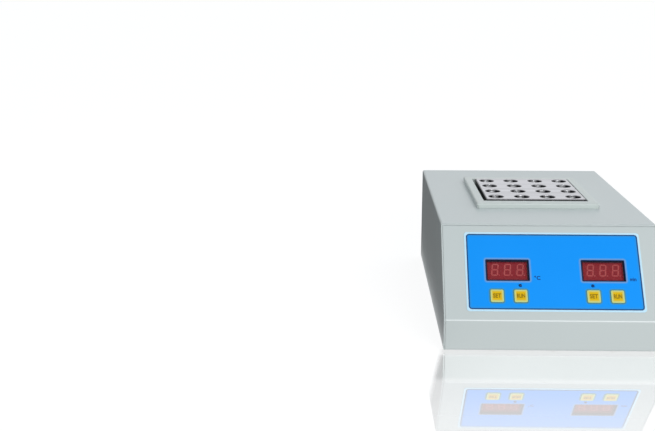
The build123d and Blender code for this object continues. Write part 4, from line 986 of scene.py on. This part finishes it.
def make_screw_head():
    """A screw's domed head with its cross recess, standing on the XY plane and facing +Z."""
    head = add_cylinder("screw", HEAD_WIDTH / 2, 0, HEAD_HEIGHT, HEAD_SIDES)
    bpy.ops.object.mode_set(mode="EDIT")
    choose(head, "FACE", faces_up)
    bpy.ops.mesh.bevel(offset=DOME_WIDTH, segments=DOME_STEPS, profile=0.5, affect="EDGES")
    bpy.ops.object.mode_set(mode="OBJECT")
    lift = Matrix.Translation((0, 0, HEAD_HEIGHT - CROSS_DEPTH / 2 + OVERLAP))
    size = Matrix.Diagonal((CROSS_LENGTH, CROSS_WIDTH, CROSS_DEPTH + 2 * OVERLAP, 1.0))
    for turn in (0, pi / 2):
        bpy.ops.object.select_all(action="DESELECT")
        bpy.ops.mesh.primitive_cube_add(size=1, location=(0, 0, 0))
        blade = bpy.context.object
        place_mesh(blade, Matrix.Rotation(turn, 4, "Z") @ lift @ size)
        cut(head, blade)
    return head


SCREW_PLATING = metal("screw_plating", srgb(205, 205, 200), 0.22, line_width=0.3 * MM, stretch=0.4)
SCREW_GROUPS = {
    "case_screws": Matrix.Rotation(pi, 4, "X"),
    "foot_screws": Matrix.Rotation(pi, 4, "X"),
    "inlet_screws": REAR_TURN,
}


def make_screws():
    """Modelled screws in place of the plain ones that show on the outside of the case."""
    head = make_screw_head()
    for node, turned in SCREW_GROUPS.items():
        parts = []
        for number, (low, high) in enumerate(separate_boxes(node, turned)):
            middle = (low + high) / 2
            under_head = high.z - HEAD_HEIGHT
            shank = add_cylinder("shank", SHANK_WIDTH / 2, low.z, under_head + OVERLAP, SHANK_SIDES)
            place_mesh(shank, turned @ Matrix.Translation((middle.x, middle.y, 0)))
            turn = Matrix.Rotation(radians(SCREW_TURN * number), 4, "Z")
            spot = Matrix.Translation((middle.x, middle.y, under_head))
            parts.append(shank)
            parts.append(copy_to(head, "head", turned @ spot @ turn))
        made = join(parts, f"{node}_modelled")
        dress(made, "housing", SCREW_PLATING)
        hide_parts(node)
    bpy.data.objects.remove(head)


make_screws()


# ---------------------------------------- floor, light and camera
WHITE = (1.0, 1.0, 1.0, 1.0)
NEIGHBOUR_DARK = 0.85  # share of light that the dark neighbour at the left takes away


def dim_side(tree, vector, aside_band, axis, along_band):
    """1 in most directions, falling towards the left side of the object, where a dark neighbour stands."""
    parts = split(tree, vector)
    aside = ramp(tree, parts["X"], *aside_band, 1.0, 0.0)
    along = ramp(tree, parts[axis], *along_band)
    return math_node(tree, "MULTIPLY_ADD", math_node(tree, "MULTIPLY", aside, along), -NEIGHBOUR_DARK, 1.0)


def mirrored_ray(tree):
    """1 for rays that gloss or glass sends out, else 0."""
    light_path = tree.nodes.new("ShaderNodeLightPath")
    glossy = light_path.outputs["Is Glossy Ray"]
    return math_node(tree, "MAXIMUM", glossy, light_path.outputs["Is Transmission Ray"])


FLOOR_SIZE = 24.0
FLOOR_GREY = (0.22, 0.22, 0.22, 1.0)
FLOOR_GLOW = 0.87  # with the light that falls on it the open floor is just white, and a shadow shows
FLOOR_BOUNCE = 0.62  # light that the floor sends to matt surfaces; mirrored, it is white
FLOOR_DARK_ASIDE = (-0.128, -0.108)
FLOOR_DARK_AHEAD = (-0.3, -0.15)

MIRROR_ROUGHNESS = 0.02
NEAR_MIRROR = 0.79  # share of the floor's look that is mirrored, close to the case
MIDDLE_MIRROR = 0.49
FAR_MIRROR = 0.37
CONTACT_MIRROR = 0.46  # part of the near share that is left where case and floor almost touch
UNDER_BAND = (-10 * MM, -5 * MM)  # this band and the next three are distances in front of the case
CONTACT_BAND = (4 * MM, 16 * MM)
NEAR_BAND = (63 * MM, 79 * MM)
FAR_BAND = (77 * MM, 187 * MM)
MIRROR_SPREAD = 0.175  # how the mirrored strip widens towards the camera
SPREAD_BAND = (-2 * MM, 6 * MM)  # outside that strip
OUTER_DISTANCES = (0.5, 1.0)  # from the middle of the object


def mirrored_share(tree, vector):
    """Share of the floor that is mirrored: a strip in front of the case that fades towards the camera."""
    parts = split(tree, vector)
    before = math_node(tree, "SUBTRACT", CASE_LOW.y, parts["Y"])
    outside = math_node(tree, "SUBTRACT", math_node(tree, "ABSOLUTE", parts["X"]), CASE_HIGH.x)
    outside = math_node(tree, "MULTIPLY_ADD", before, -MIRROR_SPREAD, outside)
    share = ramp(tree, before, *FAR_BAND, MIDDLE_MIRROR, FAR_MIRROR)
    near = ramp(tree, before, *NEAR_BAND, NEAR_MIRROR - MIDDLE_MIRROR, 0.0)
    share = math_node(tree, "ADD", share, near)
    limits = (
        ramp(tree, before, *CONTACT_BAND, CONTACT_MIRROR, 1.0),
        ramp(tree, before, *UNDER_BAND),
        ramp(tree, outside, *SPREAD_BAND, 1.0, 0.0),
        ramp(tree, vector_node(tree, "LENGTH", vector), *OUTER_DISTANCES, 1.0, 0.0),
    )
    for limit in limits:
        share = math_node(tree, "MULTIPLY", share, limit)
    return share


def make_floor():
    """A plain pale floor that keeps the object's shadow and mirrors the case faintly in front of it."""
    bpy.ops.object.select_all(action="DESELECT")
    bpy.ops.mesh.primitive_plane_add(size=FLOOR_SIZE, location=(0, 0, 0))
    floor = bpy.context.object
    floor.name = "studio_floor"
    material = bpy.data.materials.new("floor_white")
    material.use_nodes = True
    tree = material.node_tree
    tree.nodes.clear()
    output = tree.nodes.new("ShaderNodeOutputMaterial")
    vector = object_vector(tree)
    base = add_node(tree, "ShaderNodeBsdfDiffuse", {"Color": FLOOR_GREY})
    glow = add_node(tree, "ShaderNodeEmission", {"Color": WHITE, "Strength": FLOOR_GLOW})
    lit = add_node(tree, "ShaderNodeAddShader", {0: base.outputs[0], 1: glow.outputs[0]})
    mirror = add_node(tree, "ShaderNodeBsdfGlossy", {"Color": WHITE, "Roughness": MIRROR_ROUGHNESS})
    share = mirrored_share(tree, vector)
    shown = add_node(tree, "ShaderNodeMixShader", {0: share, 1: lit.outputs[0], 2: mirror.outputs[0]})
    dimmed = dim_side(tree, vector, FLOOR_DARK_ASIDE, "Y", FLOOR_DARK_AHEAD)
    level = ramp(tree, mirrored_ray(tree), 0.0, 1.0, FLOOR_BOUNCE, 1.0)
    bounce = math_node(tree, "MULTIPLY", dimmed, level)
    giving = add_node(tree, "ShaderNodeEmission", {"Color": WHITE, "Strength": bounce})
    camera_ray = tree.nodes.new("ShaderNodeLightPath").outputs["Is Camera Ray"]
    inputs = {0: camera_ray, 1: giving.outputs[0], 2: shown.outputs[0]}
    surface = add_node(tree, "ShaderNodeMixShader", inputs)
    tree.links.new(surface.outputs[0], output.inputs["Surface"])
    floor.data.materials.append(material)


WORLD_TINT = (0.9, 0.95, 1.0, 1.0)
FRONT_HEIGHTS = (0.3, 0.5)  # Z of a direction, where the front turns from its lower level to its upper
FRONT_LOW_LEVEL = 0.75
FRONT_HIGH_LEVEL = 0.42
BACK_TURN = (-0.1, 0.3)  # Y of a direction, from the front to the back
BACK_LEVEL = 1.02
WORLD_DARK_ASIDE = (-0.2, -0.04)
WORLD_DARK_HEIGHTS = (0.65, 0.4)


def make_world():
    """White behind the object; for its lighting, bright at the back, dimmer in front and dark at the left."""
    world = bpy.data.worlds.new("studio_white")
    world.use_nodes = True
    tree = world.node_tree
    tree.nodes.clear()
    output = tree.nodes.new("ShaderNodeOutputWorld")
    direction = add_node(tree, "ShaderNodeTexCoord").outputs["Generated"]
    parts = split(tree, direction)
    front = ramp(tree, parts["Z"], *FRONT_HEIGHTS, FRONT_LOW_LEVEL, FRONT_HIGH_LEVEL)
    behind = ramp(tree, parts["Y"], *BACK_TURN)
    rise = math_node(tree, "SUBTRACT", BACK_LEVEL, front)
    level = math_node(tree, "MULTIPLY_ADD", rise, behind, front)
    dimmed = dim_side(tree, direction, WORLD_DARK_ASIDE, "Z", WORLD_DARK_HEIGHTS)
    strength = math_node(tree, "MULTIPLY", level, dimmed)
    giving = add_node(tree, "ShaderNodeBackground", {"Color": WORLD_TINT, "Strength": strength})
    white = add_node(tree, "ShaderNodeBackground", {"Color": WHITE, "Strength": 1.0})
    camera_ray = tree.nodes.new("ShaderNodeLightPath").outputs["Is Camera Ray"]
    plain = math_node(tree, "MAXIMUM", camera_ray, mirrored_ray(tree))
    surface = add_node(tree, "ShaderNodeMixShader", {0: plain, 1: giving.outputs[0], 2: white.outputs[0]})
    tree.links.new(surface.outputs[0], output.inputs["Surface"])
    bpy.context.scene.world = world


SOFTBOX_WIDTH = 1.1
SOFTBOX_HEIGHT = 0.45
SOFTBOX_PLACE = Vector((0.4, -1.86, 0.84))
SOFTBOX_POWER = 19.5
SOFTBOX_TINT = (1.0, 0.99, 0.975)


def make_softbox():
    """A low softbox in front of the object, a little to its right."""
    data = bpy.data.lights.new("softbox", "AREA")
    data.shape = "RECTANGLE"
    data.size = SOFTBOX_WIDTH
    data.size_y = SOFTBOX_HEIGHT
    data.energy = SOFTBOX_POWER
    data.color = SOFTBOX_TINT
    lamp = bpy.data.objects.new("softbox", data)
    aim = SOFTBOX_PLACE.to_track_quat("Z", "Y").to_matrix().to_4x4()
    lamp.matrix_world = Matrix.Translation(SOFTBOX_PLACE) @ aim
    lamp.visible_camera = False
    bpy.context.collection.objects.link(lamp)


CAMERA_PLACE = Vector((-0.20403, -1.17236, 0.37964))
CAMERA_YAW = radians(-1.187)
CAMERA_PITCH = radians(13.586)
CAMERA_ROLL = radians(-0.077)
CAMERA_LENS = 58.70
SENSOR_WIDTH = 36.0


def make_camera():
    """The camera in front of the table, a little above the object and to its left."""
    data = bpy.data.cameras.new("camera")
    data.sensor_fit = "HORIZONTAL"
    data.sensor_width = SENSOR_WIDTH
    data.lens = CAMERA_LENS
    camera = bpy.data.objects.new("camera", data)
    ahead = Vector(
        (sin(CAMERA_YAW) * cos(CAMERA_PITCH), cos(CAMERA_YAW) * cos(CAMERA_PITCH), -sin(CAMERA_PITCH))
    )
    level_right = Vector((cos(CAMERA_YAW), -sin(CAMERA_YAW), 0))
    level_down = ahead.cross(level_right)
    right = cos(CAMERA_ROLL) * level_right + sin(CAMERA_ROLL) * level_down
    up = sin(CAMERA_ROLL) * level_right - cos(CAMERA_ROLL) * level_down
    turn = Matrix((right, up, -ahead)).transposed()
    camera.matrix_world = Matrix.Translation(CAMERA_PLACE) @ turn.to_4x4()
    bpy.context.collection.objects.link(camera)
    bpy.context.scene.camera = camera


make_floor()
make_world()
make_softbox()
make_camera()
bpy.context.scene.view_settings.view_transform = "Standard"
